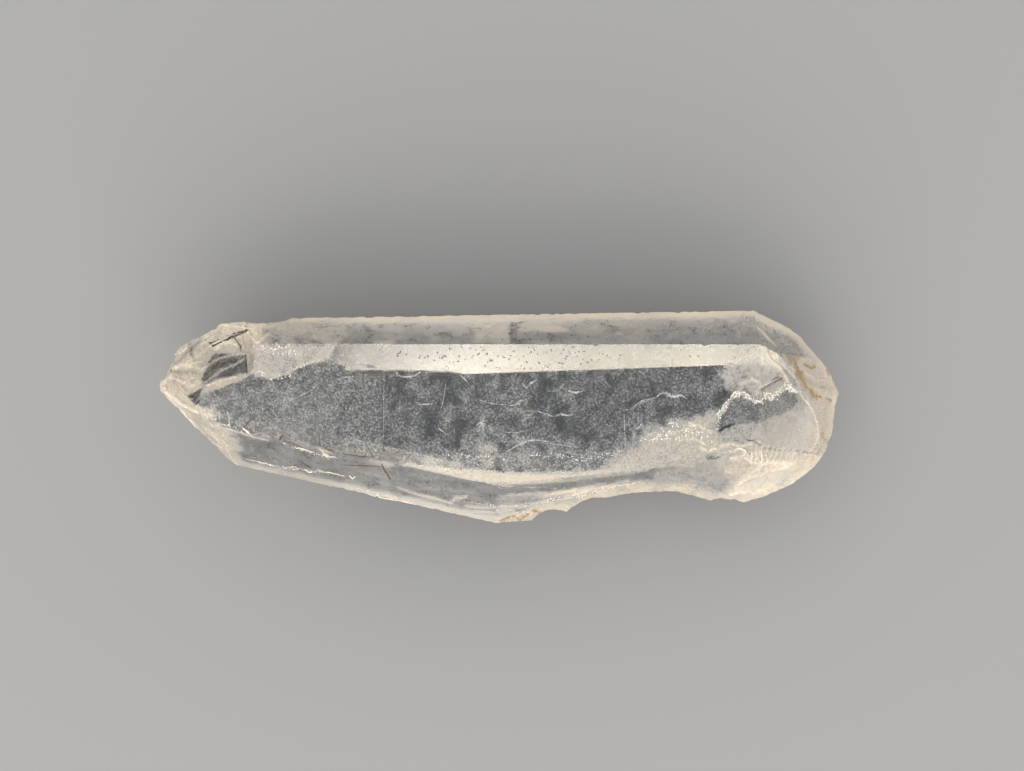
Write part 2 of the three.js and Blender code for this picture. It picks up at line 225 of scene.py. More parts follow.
PATCHES: tuple[Patch, ...] = (
    # speckled left half of the top face, and the smooth strip beside it
    Patch(((-38.77, 2.14), (-35.75, 3.83), (-30.32, 4.56), (-24.29, 5.28), (-19.46, 5.52), (-19.1, 2.14),
           (-19.1, -3.89), (-24.29, -3.41), (-30.32, -1.72), (-34.54, -0.03)), 0.26, 0.22, 2.4, 1.6,
           Side.TOP_ONLY),
    Patch(((-19.46, 5.52), (-14.27, 5.28), (-14.27, -5.34), (-18.86, -4.61)), 0.12, 0.26, 0.6, 0.35,
           Side.TOP_ONLY),
    # frosty corner of the top face beside the broken root
    Patch(((-30.68, 8.78), (-19.94, 9.02), (-20.91, 6.97), (-21.99, 6.85), (-23.56, 6.25), (-25.62, 5.4),
           (-27.06, 5.04), (-28.87, 4.8), (-30.44, 5.4)), 0.42, 0.4, 0.35, 0.5),
    # frost along the front ridge
    Patch(((-35.63, 0.94), (-34.54, 1.54), (-31.53, -0.27), (-28.87, -1.24), (-25.49, -1.48),
           (-23.68, -2.44), (-22.12, -3.89), (-24.29, -3.77), (-27.91, -2.93), (-31.53, -1.96),
           (-34.54, -0.99)), 0.3, 0.28, 0.7, 1.0, Side.TOP_ONLY),
    Patch(((-11.62, -3.2), (-10.22, -3.8), (-8.82, -4.4), (-6.22, -3.8), (-3.22, -3), (-2.42, -1),
           (-1.62, -2.8), (-0.02, -3.8), (2.79, -2.6), (4.39, -3.2), (7.19, -4.4), (9.19, -3.8),
           (12.19, -3.4), (15.19, -2.4), (18.4, -1), (18.4, -6), (9.19, -6.8), (1.18, -6.6), (-6.82, -6),
           (-11.62, -5.4)), 0.27, 0.27, 0.9, 1.1, Side.TOP_ONLY),
    Patch(((-3.22, -0.6), (-2.02, -0.5), (-1.62, -1.8), (-2.82, -2)), 0.26, 0.28, 0.4, 1.2,
           Side.TOP_ONLY),
    Patch(((-2.62, -4.4), (-1.62, -3.8), (-0.62, -4.6), (-0.82, -5.6), (-1.82, -6), (-2.72, -5.4)), 0.26,
           0.55, 0.6, 1.3, Side.TOP_ONLY),
    # narrow pale strip along the front ridge
    Patch(((-12.02, -5.5), (-8.82, -5.86), (-6.22, -6.16), (-2.82, -6.5), (-0.02, -6.6), (4.19, -6.75),
           (8.19, -6.8), (10.19, -6.6), (13.19, -6.2), (18.56, -5.7), (18.56, -6.25), (13.19, -6.9),
           (10.2, -7.3), (7.2, -7.6), (2.2, -7.85), (-0.8, -7.8), (-4.8, -7.45), (-6.8, -6.95),
           (-10.8, -5.95), (-12.02, -5.75)), 0.9, 0.62, 0.14, 0.08, Side.TOP_ONLY),
    # milky wedge at the front of the point
    Patch(((11.91, -7.27), (13.36, -5.34), (14.93, -4.13), (16.74, -3.29), (17.95, -1.48), (19.64, -0.75),
           (21.57, -0.27), (23.98, 0.21), (25.91, 0.57), (25.91, -1.48), (26.64, -1.84), (29.41, -2.68),
           (30.26, -3.41), (29.41, -4.13), (27.96, -4.74), (23.98, -5.34), (19.88, -5.7), (16.74, -6.43)),
           0.58, 0.46, 1, 0.7),
    # smooth pale flat below the window
    Patch(((27.78, -2.77), (29.65, -2.09), (32.21, -0.81), (35.62, 0.64), (37.33, 1.32), (38.69, -1.58),
           (38.01, -4.22), (32.21, -3.79), (30.51, -2.86)), 0.5, 0.36, 0.3, 0.3),
    # haze behind the window
    Patch(((27.73, 7.12), (30.97, 8.65), (33.01, 7.8), (34.55, 6.27), (35.57, 4.73), (35.4, 3.37),
           (34.72, 3.88), (33.86, 3.2), (32.84, 2.35), (32.16, 2.52), (31.31, 2.01), (30.46, 2.01),
           (29.78, 2.52), (28.58, 3.2), (27.05, 4.05), (26.37, 5.42)), 0.42, 0.34, 0.7, 0.9),
    # cloudy ground between the window and the ridge
    Patch(((25.65, -1.56), (28.03, -0.71), (31.43, -0.2), (32.11, -1.05), (31.43, -2.92), (30.41, -3.09),
           (27.01, -3.26)), 0.42, 0.36, 0.4, 0.6),
    # smooth grey band under the front ridge
    Patch(((-12.93, -5.9), (-10.8, -6.05), (-6.8, -7.1), (-4.8, -7.6), (-0.8, -7.95), (2.2, -8),
           (7.2, -7.75), (10.2, -7.45), (13.19, -7.05), (18.69, -6.4), (18.69, -7.45), (11.27, -8.46),
           (5.22, -9.1), (-0.83, -9.43), (-4.87, -8.9), (-8.9, -7.89), (-12.93, -7.09)), 0.5, 0.12, 0.2,
           0.2),
    # clear window in the point
    Patch(((27.73, 2.01), (28.58, 3.03), (29.78, 2.35), (30.46, 1.84), (31.31, 1.84), (32.16, 2.35),
           (32.84, 2.18), (33.86, 3.03), (34.72, 3.54), (35.4, 3.2), (36.59, 2.35), (35.57, 0.99),
           (33.01, -0.03), (31.48, -0.37), (29.44, -0.54), (27.9, -0.89), (26.37, -1.57), (26.03, -1.06),
           (26.37, -0.2), (27.22, 0.82)), 0.32, 0.14, 0.3, 0.5),
    # the clear window, the pale flat and the small dark facet of the broken root
    Patch(((-35.37, 7.85), (-31.22, 7.73), (-30.8, 5.54), (-33.54, 4.68), (-36.22, 4.08), (-36.34, 4.68),
           (-35.97, 6.51)), 0.2, 0.1, 0.2, 0.3),
    Patch(((-39.43, 2.65), (-36.22, 3.72), (-36.71, 4.6), (-37.29, 4.99), (-39.14, 3.43)), 0.7, 0.62, 0.2,
           0.15),
    Patch(((-38.1, 2.56), (-35.97, 3.72), (-37.04, 1.4)), 0.16, 0.06, 0.12, 0.06),
    # greyer stretch of the front ridge
    Patch(((-25.4, -2.8), (-22.6, -3.5), (-20, -4.1), (-19.8, -5.3), (-22.6, -4.9), (-25.4, -4.2)), 0.4,
           0.16, 0.35, 0.6),
    # rough white spot at the front corner of the root
    Patch(((-36.17, 0.93), (-35.69, 1.22), (-34.73, 1.12), (-34.34, 0.35), (-34.44, -0.32),
           (-35.31, -0.13), (-35.98, 0.45)), 0.7, 0.62, 0.3, 0.6),
    # paler and greyer stretches of the upper rear face
    Patch(((-29.5, 9.3), (-27.6, 11.8), (-19.6, 11.8), (-18.9, 9.3)), 0.46, 0.36, 0.7, 0.6),
    Patch(((-3.49, 11.73), (0.98, 11.73), (0.98, 9.29), (-3.29, 9.29)), 0.46, 0.4, 0.4, 0.6),
    Patch(((1.08, 11.63), (2.1, 11.63), (2, 9.29), (0.98, 9.29)), 0.36, 0.1, 0.25, 0.4),
    Patch(((2.1, 10.82), (3.22, 11.32), (5.25, 11.32), (7.28, 11.12), (8.5, 10.61), (7.28, 10.41),
           (4.84, 10.51), (2.81, 10.41)), 0.5, 0.46, 0.25, 0.25),
    Patch(((2.4, 10.31), (5.25, 10.37), (8.1, 10.31), (8.5, 9.29), (2.4, 9.29)), 0.4, 0.12, 0.3, 0.4),
    Patch(((8.1, 11.32), (8.91, 11.32), (9.72, 9.29), (8.71, 9.29)), 0.4, 0.13, 0.3, 0.4),
    # clouded foot of the lower rear face, under the left end of the bright band
    Patch(((-33.25, 3.96), (-32.11, 5.35), (-30.46, 4.85), (-27.03, 5.48), (-24.87, 6.37), (-23.22, 7.05),
           (-19.91, 6.43), (-15.72, 6.04), (-10.26, 5.73), (-5.31, 5.35), (-5.31, 4.59), (-19.28, 4.08),
           (-32.11, 3.57)), 0.9, 0.95, 0.15, 0.12, Side.DOWNWARD),
    # clouded left part of the lower front face
    Patch(((-44.25, 2.7), (-34.18, 2.7), (-20.2, 0.2), (-19.1, -2.96), (-20.6, -8), (-25.37, -11.77),
           (-44.25, -10.51)), 0.8, 0.8, 0.9, 1.2, Side.DOWNWARD),
    Patch(((-20.72, -2.24), (-17.28, -3.05), (-13.05, -3.95), (-10.22, -4.66), (-9.82, -6.48),
           (-12.88, -6.07), (-17.28, -5.47), (-20.72, -4.96)), 0.66, 0.26, 0.5, 0.7, Side.DOWNWARD),
    # greyer stretches of the lower rear face
    Patch(((-14.93, 9.62), (-10.09, 9.62), (-10.09, 5.72), (-14.93, 5.72)), 0.44, 0.0, 0.2, 0.1,
           Side.DOWNWARD),
    Patch(((-19.71, 9.62), (-14.93, 9.62), (-14.93, 5.72), (-19.71, 5.72)), 0.47, 0.0, 0.2, 0.1,
           Side.DOWNWARD),
)
STREAKS: tuple[Streak, ...] = (
    # frosted lines of the ledge and the tip
    Streak(((26.12, -1.57), (26.2, -0.03), (27.05, 1.33), (28.07, 2.52), (28.93, 3.2)), 0.2, frost=0.6,
            milk=0.5, ragged=0.45),
    Streak(((22.72, -0.62), (24.08, -1.12), (25.35, -1.8)), 0.26, frost=0.8, milk=0.7),
    Streak(((37.54, 1.99), (38.31, 0.62), (39, -1.45), (38.83, -2.82), (37.8, -4.29)), 0.22, frost=0.8,
            milk=0.7),
    # iron stain on the point
    Streak(((34.53, 7.84), (35.91, 6.81), (36.42, 5.43), (36.94, 4.05), (37.8, 3.19), (38.83, 2.34)),
            0.46, stain=0.5, ragged=0.9),
    Streak(((36.25, 5.43), (37.11, 4.05), (37.97, 3.37), (38.49, 2.68)), 0.24, stain=0.68, ragged=0.4),
    Streak(((37.34, 6.48), (38.21, 6.05), (38.99, 6.13), (38.73, 6.44)), 0.16, stain=0.7, ragged=0.15),
    Streak(((38.73, 2.5), (40.11, 2.32), (41.07, 1.98)), 0.2, stain=0.66, ragged=0.3),
    Streak(((40.5, 5.97), (40.9, 5.1)), 0.14, stain=0.7, ragged=0.15),
    Streak(((34.42, 7.48), (35.11, 6.28), (34.08, 5.08), (33.05, 4.74)), 0.3, stain=0.3, ragged=0.5),
    Streak(((39.42, -2.18), (39.94, -3.04), (39.08, -4.08), (38.38, -4.95)), 0.3, stain=0.4, ragged=0.5),
    Streak(((30.78, -9.01), (32.87, -8.66), (35.49, -7.97), (37.4, -7.09)), 0.3, stain=0.26, ragged=0.5),
    Streak(((30.9, 9.17), (31.41, 8.97)), 0.14, stain=0.75, ragged=0.1),
    Streak(((38.6, 4.6), (39.6, 1.6), (39.4, -2.2), (38.2, -4.8), (36.4, -6.8)), 1.7, stain=0.23,
            ragged=0.8),
    # iron stain in the chips of the front edge
    Streak(((-0.05, -12.88), (1.39, -12.1), (2.46, -12.94)), 0.17, stain=0.66, ragged=0.12),
    Streak(((2.66, -12.47), (3.82, -11.48), (4.72, -11.81)), 0.17, stain=0.66, ragged=0.12),
    Streak(((0.2, -12.8), (1.5, -12.4), (3.2, -12.5), (4.6, -12)), 0.6, stain=0.3, ragged=0.4),
)
# The last number of each crease is painted light: paler crests are painted highlight with some frosted
# wear, darker grooves are painted shade.
CREASES: tuple[Crease, ...] = (
    # ripples and ribs of the broken root
    Crease(((-38.46, 9.37), (-38.22, 8.54), (-37.96, 7.66), (-37.71, 6.93)), 0.22, -0.16, -0.2),
    Crease(((-40.09, 5.94), (-39.11, 6.33), (-37.94, 6.53), (-36.46, 6.88)), 0.22, 0.16, 0.5),
    Crease(((-40.54, 5.77), (-39.18, 5.48), (-37.9, 5.58), (-36.83, 5.19)), 0.25, -0.12, -0.35),
    Crease(((-40.74, 4.99), (-39.37, 4.6), (-38.39, 4.21), (-37.42, 4.99)), 0.22, 0.12, 0.45),
    Crease(((-39.05, 9.35), (-37.66, 9.95), (-36.08, 10.74), (-35.29, 11.13)), 0.25, -0.14, -0.3),
    Crease(((-40.23, 7.57), (-39.24, 7.97), (-38.65, 8.56)), 0.22, 0.14, 0.4),
    Crease(((-34.84, 11.52), (-33.26, 11.12), (-31.68, 11.02), (-30.1, 10.73)), 0.25, 0.12, 0.3),
    Crease(((-31.32, 11.18), (-30.53, 10.2), (-29.55, 9.28)), 0.2, -0.12, -0.35),
    Crease(((-32.64, 10.49), (-31.86, 9.8), (-31.46, 8.72)), 0.25, 0.12, 0.3),
    Crease(((-41.45, 3.13), (-40.56, 1.84), (-39.18, 0.27), (-37.6, -1.51)), 0.25, 0.12, 0.35),
    Crease(((-38.46, 0.87), (-37.47, -0.51), (-36.69, -1.89), (-35.11, -3.26)), 0.3, -0.1, -0.25),
    Crease(((-34.27, -0.82), (-32.53, -1.49), (-30.21, -2.27), (-28.28, -2.75)), 0.2, 0.06, 0.4),
    Crease(((-41.51, 3.43), (-40.62, 2.44), (-39.44, 1.75), (-38.06, 0.97), (-37.08, 0.67)), 0.45, 0.208,
            0.5),
    Crease(((-42, 4.02), (-40.42, 5.2), (-38.46, 6.57), (-36.88, 7.95), (-35.11, 9.13), (-33.14, 10.02)),
            0.7, 0.182, 0.15),
    Crease(((-39.77, 6.58), (-38.78, 7.77), (-37.8, 8.75), (-37.01, 9.44)), 0.35, -0.182, -0.375),
    Crease(((-40.09, 5.98), (-38.72, 6.37), (-37.35, 6.17), (-36.17, 5.78)), 0.4, 0.156, 0.375),
    Crease(((-38.36, 9.13), (-38.06, 7.95), (-37.47, 6.97), (-37.67, 5.79)), 0.3, -0.156, -0.16),
    Crease(((-36.39, 5.96), (-34.64, 7.12), (-32.7, 7.7), (-31.14, 7.8)), 0.26, 0.13, 0.45),
    Crease(((-35.97, 4.21), (-33.94, 5.76), (-32.2, 6.53), (-31.04, 7.3)), 0.22, 0.11, 0.4),
    Crease(((-35.56, 3.92), (-33.82, 4.59), (-31.99, 5.02)), 0.24, 0.104, 0.5),
    Crease(((-34.88, 8.32), (-34.29, 9.1), (-33.31, 9.29), (-32.14, 8.71)), 0.4, 0.156, 0.438),
    Crease(((-30.46, 5.46), (-28.92, 5.51), (-28.34, 4.88), (-26.03, 5.21), (-24.11, 6.28),
            (-21.99, 6.94)), 0.26, -0.065, 0.312),
    Crease(((-31.36, 10.86), (-30.57, 9.88), (-29.4, 9.1), (-28.23, 10.27)), 0.4, 0.13, 0.25),
    Crease(((-40.56, 6.98), (-40.07, 6.68), (-40.26, 5.99)), 0.25, -0.182, -0.375),
    Crease(((-39.9, 2.84), (-38.72, 1.47), (-37.54, 0.29), (-36.76, -1.08)), 0.35, -0.13, -0.25),
    # the ledge, its floor and the faces of the point
    Crease(((30.65, -2.94), (32.02, -3.75), (34.94, -4.14), (38.11, -4.26)), 0.3, -0.182, -0.438),
    Crease(((26.29, -1.55), (27.14, -1.04), (28.07, -0.77)), 0.2, -0.13, -0.625),
    Crease(((21.16, -2.73), (22.35, -2.47), (23.7, -2.64), (24.55, -3.23)), 0.26, 0.065, 0.312),
    Crease(((26.37, -3.44), (27.73, -3.1), (29.1, -3.44), (30.29, -3.1)), 0.3, 0.13, 0.375),
    Crease(((27.82, -4.15), (28.85, -3.81), (29.53, -4.32), (28.85, -4.83), (27.82, -5)), 0.3, 0.156,
            0.375),
    Crease(((25.77, -4.32), (27.14, -4.49), (28.5, -4.32), (29.53, -3.64)), 0.3, -0.13, -0.25),
    Crease(((29.71, -4.89), (30.57, -5.58), (32.12, -5.66), (34.19, -5.58), (36.08, -5.78)), 0.26, 0.156,
            0.5),
    Crease(((29.21, -8.24), (30.94, -7.54), (33.19, -6.68), (35.79, -6.16)), 0.5, 0.13, 0.188),
    Crease(((28.3, -9.69), (29.87, -9.34), (31.78, -9.34), (34.21, -8.29)), 0.4, 0.156, 0.375),
    Crease(((31.26, 3.37), (32.79, 4.22), (33.98, 4.82)), 0.4, -0.156, -0.375),
    Crease(((29, 4.22), (30.36, 4.73), (31.38, 4.05), (30.87, 3.03)), 0.4, 0.13, 0.25),
    Crease(((31.87, 8.49), (32.55, 7.12), (33.92, 6.1), (34.94, 4.39)), 0.35, 0.156, 0.438),
    Crease(((34.25, 6.11), (35.45, 5.08), (36.14, 4.05)), 0.3, -0.13, -0.25),
    Crease(((37, 5.09), (38.21, 4.23), (39.6, 3.71), (41.33, 3.62)), 0.3, -0.13, -0.25),
    Crease(((37.52, 5.44), (38.9, 4.75), (40.46, 4.58)), 0.3, 0.13, 0.188),
    Crease(((24.08, -3.59), (24.93, -3.93), (25.78, -3.76)), 0.35, 0.078, 0.375),
    # growth lines behind the point
    Crease(((31.24, 11.14), (32.18, 10.03)), 0.12, 0, 0.375),
    Crease(((31.48, 10.87), (32.42, 9.8)), 0.12, 0, 0.375),
    Crease(((31.72, 10.6), (32.66, 9.56)), 0.12, 0, 0.375),
    Crease(((31.96, 10.32), (32.9, 9.32)), 0.12, 0, 0.375),
    Crease(((32.19, 10.05), (33.13, 9.08)), 0.12, 0, 0.375),
    Crease(((32.43, 9.78), (33.37, 8.84)), 0.12, 0, 0.375),
    Crease(((32.67, 9.5), (33.61, 8.6)), 0.12, 0, 0.375),
    # chips along the lower front edge
    Crease(((-5.98, -10.32), (-5.57, -9.81), (-4.96, -9.91), (-4.34, -9.7)), 0.3, 0.104, 0.5),
    Crease(((-12.53, -8.68), (-10.69, -9.4), (-8.03, -10.11), (-6.18, -10.63)), 0.3, 0.078, 0.312),
    Crease(((-4.36, -10.98), (-1.69, -11.19), (0.77, -10.98), (3.23, -10.98), (5.29, -10.26)), 0.35,
            0.104, 0.25),
    Crease(((-3.33, -11.7), (-0.87, -11.8), (1.18, -11.43)), 0.3, 0.078, 0.25),
    Crease(((1.39, -12.06), (0.98, -12.88)), 0.25, 0.26, 0.375),
    Crease(((3.82, -11.44), (3.45, -12.47)), 0.25, 0.26, 0.375),
    Crease(((5.28, -9.7), (7.32, -9.09), (9.37, -8.68), (12.44, -8.07)), 0.35, 0.065, 0.25),
    Crease(((7.32, -10.32), (8.96, -9.5), (11.41, -8.68), (15.51, -7.66)), 0.35, 0.065, 0.25),
)
WEATHERING: dict[Facet, Weathering] = {
    Facet.TOP: Weathering(0.14, 0.16),
    Facet.BOTTOM: Weathering(0.04, 0.0),
    Facet.REAR_HIGH: Weathering(0.46, 0.17, 0.8, 2.1),
    Facet.REAR_LOW: Weathering(0.45, 0.0),
    Facet.FRONT_HIGH_LEFT: Weathering(0.44, 0.13, 0.4, 2.2),
    Facet.FRONT_LOW_LEFT: Weathering(0.7, 0.0),
    Facet.FRONT_HIGH_RIGHT: Weathering(0.46, 0.24, 0.56, 3.0),
    Facet.FRONT_LOW_RIGHT: Weathering(0.6, 0.0),
    Facet.POINT_HIGH: Weathering(0.45, 0.3),
    Facet.POINT_REAR: Weathering(0.42, 0.2, 0.66, 2.4),
    Facet.POINT_RIDGE: Weathering(0.7, 0.45, 0.6, 2.0),
    Facet.POINT_BEVEL: Weathering(0.7, 0.46, 0.6, 2.0),
    Facet.POINT_REAR_LOW: Weathering(0.6, 0.0),
    Facet.POINT_FRONT_LOW: Weathering(0.6, 0.0),
    Facet.SHOULDER_LOW: Weathering(0.6, 0.0),
    Facet.STEP: Weathering(0.3, 0.16),
    Facet.BROKEN: Weathering(0.66, 0.56, 0.62, 1.0),
}
# Flaws inside the crystal: healed cracks, dust, bright flakes, open cracks, iron stain and dirt.
VEILS: tuple[Film, ...] = (
    # under the middle of the top face
    Film(((-2.82, 2.2), (-1.62, 1.8), (-0.42, 1.64), (0.98, 1.56)), 0.14, 0.6),
    Film(((0.98, 1.48), (1.79, 1.6), (2.49, 2.14)), 0.3, 0.6),
    Film(((4.19, 0.84), (5.19, 0.52), (6.29, 0.16)), 0.32, 0.6),
    Film(((6.39, 0.12), (7.19, 0.4), (7.99, 0.28), (8.63, 0.44)), 0.34, 0.6),
    Film(((7.99, 3.28), (8.89, 3.04), (9.99, 3.28)), 0.36, 0.8),
    Film(((6.59, 3.24), (7.25, 3.56), (7.59, 4.2)), 0.26, 0.6),
    Film(((-10.42, 1.84), (-9.62, 1.6), (-8.38, 1.68)), 0.26, 0.6),
    Film(((2.39, 4.4), (2.99, 3.6), (3.59, 4.2), (4.29, 4.6)), 0.3, 0.6),
    Film(((16.74, 1.6), (17.76, 2.11), (18.94, 2.53)), 0.24, 0.7),
    Film(((18.77, 2.53), (19.62, 3.04), (20.63, 2.53), (21.65, 2.7), (22.5, 2.27)), 0.5, 0.7),
    Film(((14.79, 0.9), (15.79, 1.1), (16.39, 1.6), (17.39, 2.16), (18.5, 2.08)), 0.26, 0.6),
    Film(((-12.82, 5.6), (-12.02, 4.96), (-10.62, 5.04), (-9.62, 5.6)), 0.3, 0.3),
    # under the crest of the ledge
    Film(((27.86, 2.52), (28.54, 3.17), (29.39, 2.69), (30.41, 1.98), (31.26, 2.01), (32.11, 2.52),
          (32.79, 2.32)), 0.5, 0.5),
    Film(((32.89, 2.31), (33.92, 3.2), (34.77, 3.85), (35.45, 3.37), (36.65, 3.12)), 0.7, 0.45),
    Film(((34.48, 4.22), (35.25, 3.37), (35.85, 3.2)), 0.6, 0.3),
    # stray ones
    Film(((-17.57, 6.42), (-16.22, 6.28), (-14.88, 6.03)), 0.5, 0.3),
    Film(((-19.69, 4.59), (-18.72, 4.86), (-17.76, 4.97)), 0.3, 0.4),
    Film(((-0.42, -4.8), (1.18, -3.8), (2.79, -3), (4.19, -2.7), (6.19, -3)), 0.24, 0.5),
    Film(((-3.02, -1), (-2.42, -0.6), (-2.02, -1.6)), 0.5, 0.4),
)
SHEET_WIDTH = 0.45  # share of the veil's own width
SHEET_LEAN = 24.0
VEIL_SHEETS: tuple[Film, ...] = tuple(
    replace(veil, width=SHEET_WIDTH * veil.width, lean=SHEET_LEAN) for veil in VEILS
)
SPECK_FIELDS: tuple[Film, ...] = (
    Film(((-30.0, 0.6), (-14.0, -0.4), (6.0, -1.2), (24.0, 1.0)), 6.4, 0.45),
    Film(((-12.0, -3.6), (2.0, -4.9), (16.0, -3.9)), 3.2, 0.35),
)
GLINT_FIELDS: tuple[Film, ...] = (
    # the ledge and the point
    Film(((27.82, 2.35), (28.58, 3.12), (29.61, 2.52), (30.46, 1.98), (31.31, 2.04), (32.25, 2.52),
          (33.01, 2.35), (34.03, 3.2), (34.72, 4.05), (35.74, 3.29), (36.67, 3.03)), 1.1, 0),
    Film(((34.48, 4.22), (35.17, 3.63), (35.68, 3.2)), 1.3, 0),
    Film(((26.07, -1.56), (26.16, -0.03), (27.01, 1.33), (28.03, 2.52), (28.88, 3.2)), 0.9, 0),
    Film(((32.04, 8.49), (32.72, 7.47), (33.66, 6.61), (34.6, 5.42)), 0.7, 0),
    Film(((16.76, -2.56), (19.3, -2.05), (21.84, -1.54), (24.04, -2.22), (25.91, -3.74)), 2.4, 0),
    Film(((27.18, -3.48), (28.89, -3.82), (29.92, -4.5), (32.31, -5.62), (35.74, -5.74)), 0.7, 0),
    Film(((37.45, 1.99), (38.31, 0.62), (39, -1.45), (38.83, -2.82), (37.8, -4.29)), 0.4, 0),
    # the broken root, and the frosty corner beside it
    Film(((-41.51, 3.43), (-39.44, 1.75), (-37.28, 0.87)), 0.4, 0),
    Film(((-36.09, 0.93), (-35.32, 0.45), (-34.45, -0.23)), 0.8, 0),
    Film(((-34.08, -0.73), (-32.83, -1), (-30.13, -2.15)), 0.35, 0),
    Film(((-30.46, 5.55), (-28.92, 5.46), (-28.34, 4.78), (-25.84, 5.17), (-23.92, 6.32), (-21.99, 6.94)),
          0.6, 0),
    Film(((-30.08, 8.44), (-27, 8.25), (-23.92, 7.67)), 1.4, 0),
    # the front ridge and the faces below it
    Film(((-26.7, -2.94), (-22.84, -4.29), (-20.14, -4.77)), 0.7, 0),
    Film(((-31.41, -5.19), (-27.49, -6.07), (-23.58, -6.56), (-19.27, -7.14)), 0.7, 0),
    Film(((-17.83, -8.79), (-12.55, -10.27)), 0.6, 0),
    Film(((-11.82, -5.5), (-6.82, -6.2), (-0.82, -6.5)), 0.5, 0),
    Film(((-6.82, -4.5), (-3.22, -4.6), (-0.82, -4.8)), 0.5, 0),
    Film(((-0.02, -5), (5.19, -4.4), (9.19, -5), (13.19, -4.4), (17.19, -2.8)), 0.6, 0),
    Film(((-5.99, -10.14), (1.18, -10.96), (7.33, -9.93), (13.48, -8.5), (18.81, -7.68)), 1.2, 0),
    Film(((1.18, -12.24), (3.85, -11.62)), 0.8, 0),
)
SILVER_FILMS: tuple[Film, ...] = (
    # under the top face
    Film(((-14.15, 5.75), (-14.19, 0.74), (-14.31, -4.75)), 0.045, 0.3),
    Film(((-5.12, 5.3), (-4.58, 4.8), (-3.98, 4.2)), 0.145, 0.3),
    Film(((-6.62, 4.6), (-6.98, 2.2), (-7.52, 0.4)), 0.062, 0.3),
    Film(((-7.72, -1.2), (-7.18, -1.56), (-6.62, -2)), 0.145, 0.3),
    Film(((-0.02, -1.8), (1.58, -1.76), (2.99, -1.7)), 0.062, 0.3),
    Film(((-2.22, -2.8), (-0.02, -2.84), (2.39, -2.8)), 0.05, 0.3),
    Film(((4.39, -2.92), (6.39, -3.2), (9.39, -3.6)), 0.074, 0.3),
    Film(((-2.62, -2.72), (-1.62, -3.6), (-0.82, -4.6)), 0.081, 0.3),
    Film(((14.79, 1), (14.91, -1.4), (14.99, -3.6)), 0.074, 0.2),
    Film(((16.09, -1.6), (16.17, -3.4), (16.19, -5.6)), 0.074, 0.2),
    Film(((16.19, -1.44), (16.69, -1.1), (17.09, -0.6)), 0.17, 0.3),
    Film(((-10.52, -3.9), (-9.82, -4.9), (-9.02, -6.1)), 0.136, 0.2),
    Film(((2.59, -2.1), (2.69, -2.8)), 0.136, 0.3),
    Film(((11.99, 5), (12.59, 4.3), (13.19, 3.6)), 0.05, 0.3),
    # the left end
    Film(((-35.39, 3.92), (-34.72, 3.09), (-34.04, 2.28)), 0.074, 0.15),
    Film(((-34.04, 0.74), (-34, -0.03), (-33.93, -0.76)), 0.17, 0.12),
    Film(((-33.08, 0.93), (-32.93, -0.03), (-32.75, -1.03)), 0.187, 0.12),
    Film(((-33.95, -0.72), (-33.37, -0.84), (-32.73, -1.03)), 0.204, 0.12),
    Film(((-26.71, 8.53), (-26.9, 8.34), (-27, 8.15)), 0.255, 0.15),
    Film(((-25.75, 8.92), (-25.42, 8.59), (-25.07, 8.25)), 0.425, 0.15),
    Film(((-28.92, 3.44), (-28.82, 1.9), (-28.92, -0.03)), 0.043, 0.3),
    Film(((-25.84, 1.9), (-25.07, 2.28), (-23.34, 3.05), (-21.99, 4.21)), 0.074, 0.4),
    # the crest of the ledge
    Film(((30.15, 2.35), (30.41, 1.98), (30.72, 1.67)), 0.221, 0.4),
    Film(((32.5, 2.69), (32.76, 2.35), (33.01, 2.09)), 0.255, 0.4),
    Film(((34.74, 4.14), (35.25, 3.54), (35.85, 3.28)), 0.297, 0.3),
)
RUSTY_FILMS: tuple[Film, ...] = (
    Film(((-19.69, -5.79), (-17.94, -5.83), (-16.39, -5.89), (-14.44, -5.89)), 0.15, 0, 0.05),
    Film(((-14.53, -5.49), (-14.11, -6.51), (-13.48, -7.71)), 0.24, 0, 0.06),
    Film(((-16.62, -2.73), (-15.95, -3.88), (-15.23, -5.07)), 0.16, 0.1),
    Film(((-26.84, -2.77), (-26.53, -2.38), (-26.23, -2.02)), 0.18, 0, 0.05),
    Film(((-21.32, -3.62), (-20.74, -3.91), (-20.12, -4.1)), 0.12, 0, 0.05),
    Film(((-26.32, -2.77), (-25.13, -3.22), (-23.97, -3.6)), 0.1, 0, 0.05),
    Film(((-19.23, -4.31), (-17.49, -4.6), (-15.55, -4.79)), 0.12, 0, 0.05),
    Film(((-26.53, 4.01), (-26.57, 2.67), (-26.5, 0.74)), 0.1, 0.2),
    Film(((-11.22, 0.4), (-11.62, -0.6), (-11.82, -1.6)), 0.13, 0.2),
    Film(((-12.62, -0.4), (-12.32, -1.2), (-11.92, -2)), 0.1, 0.2),
)
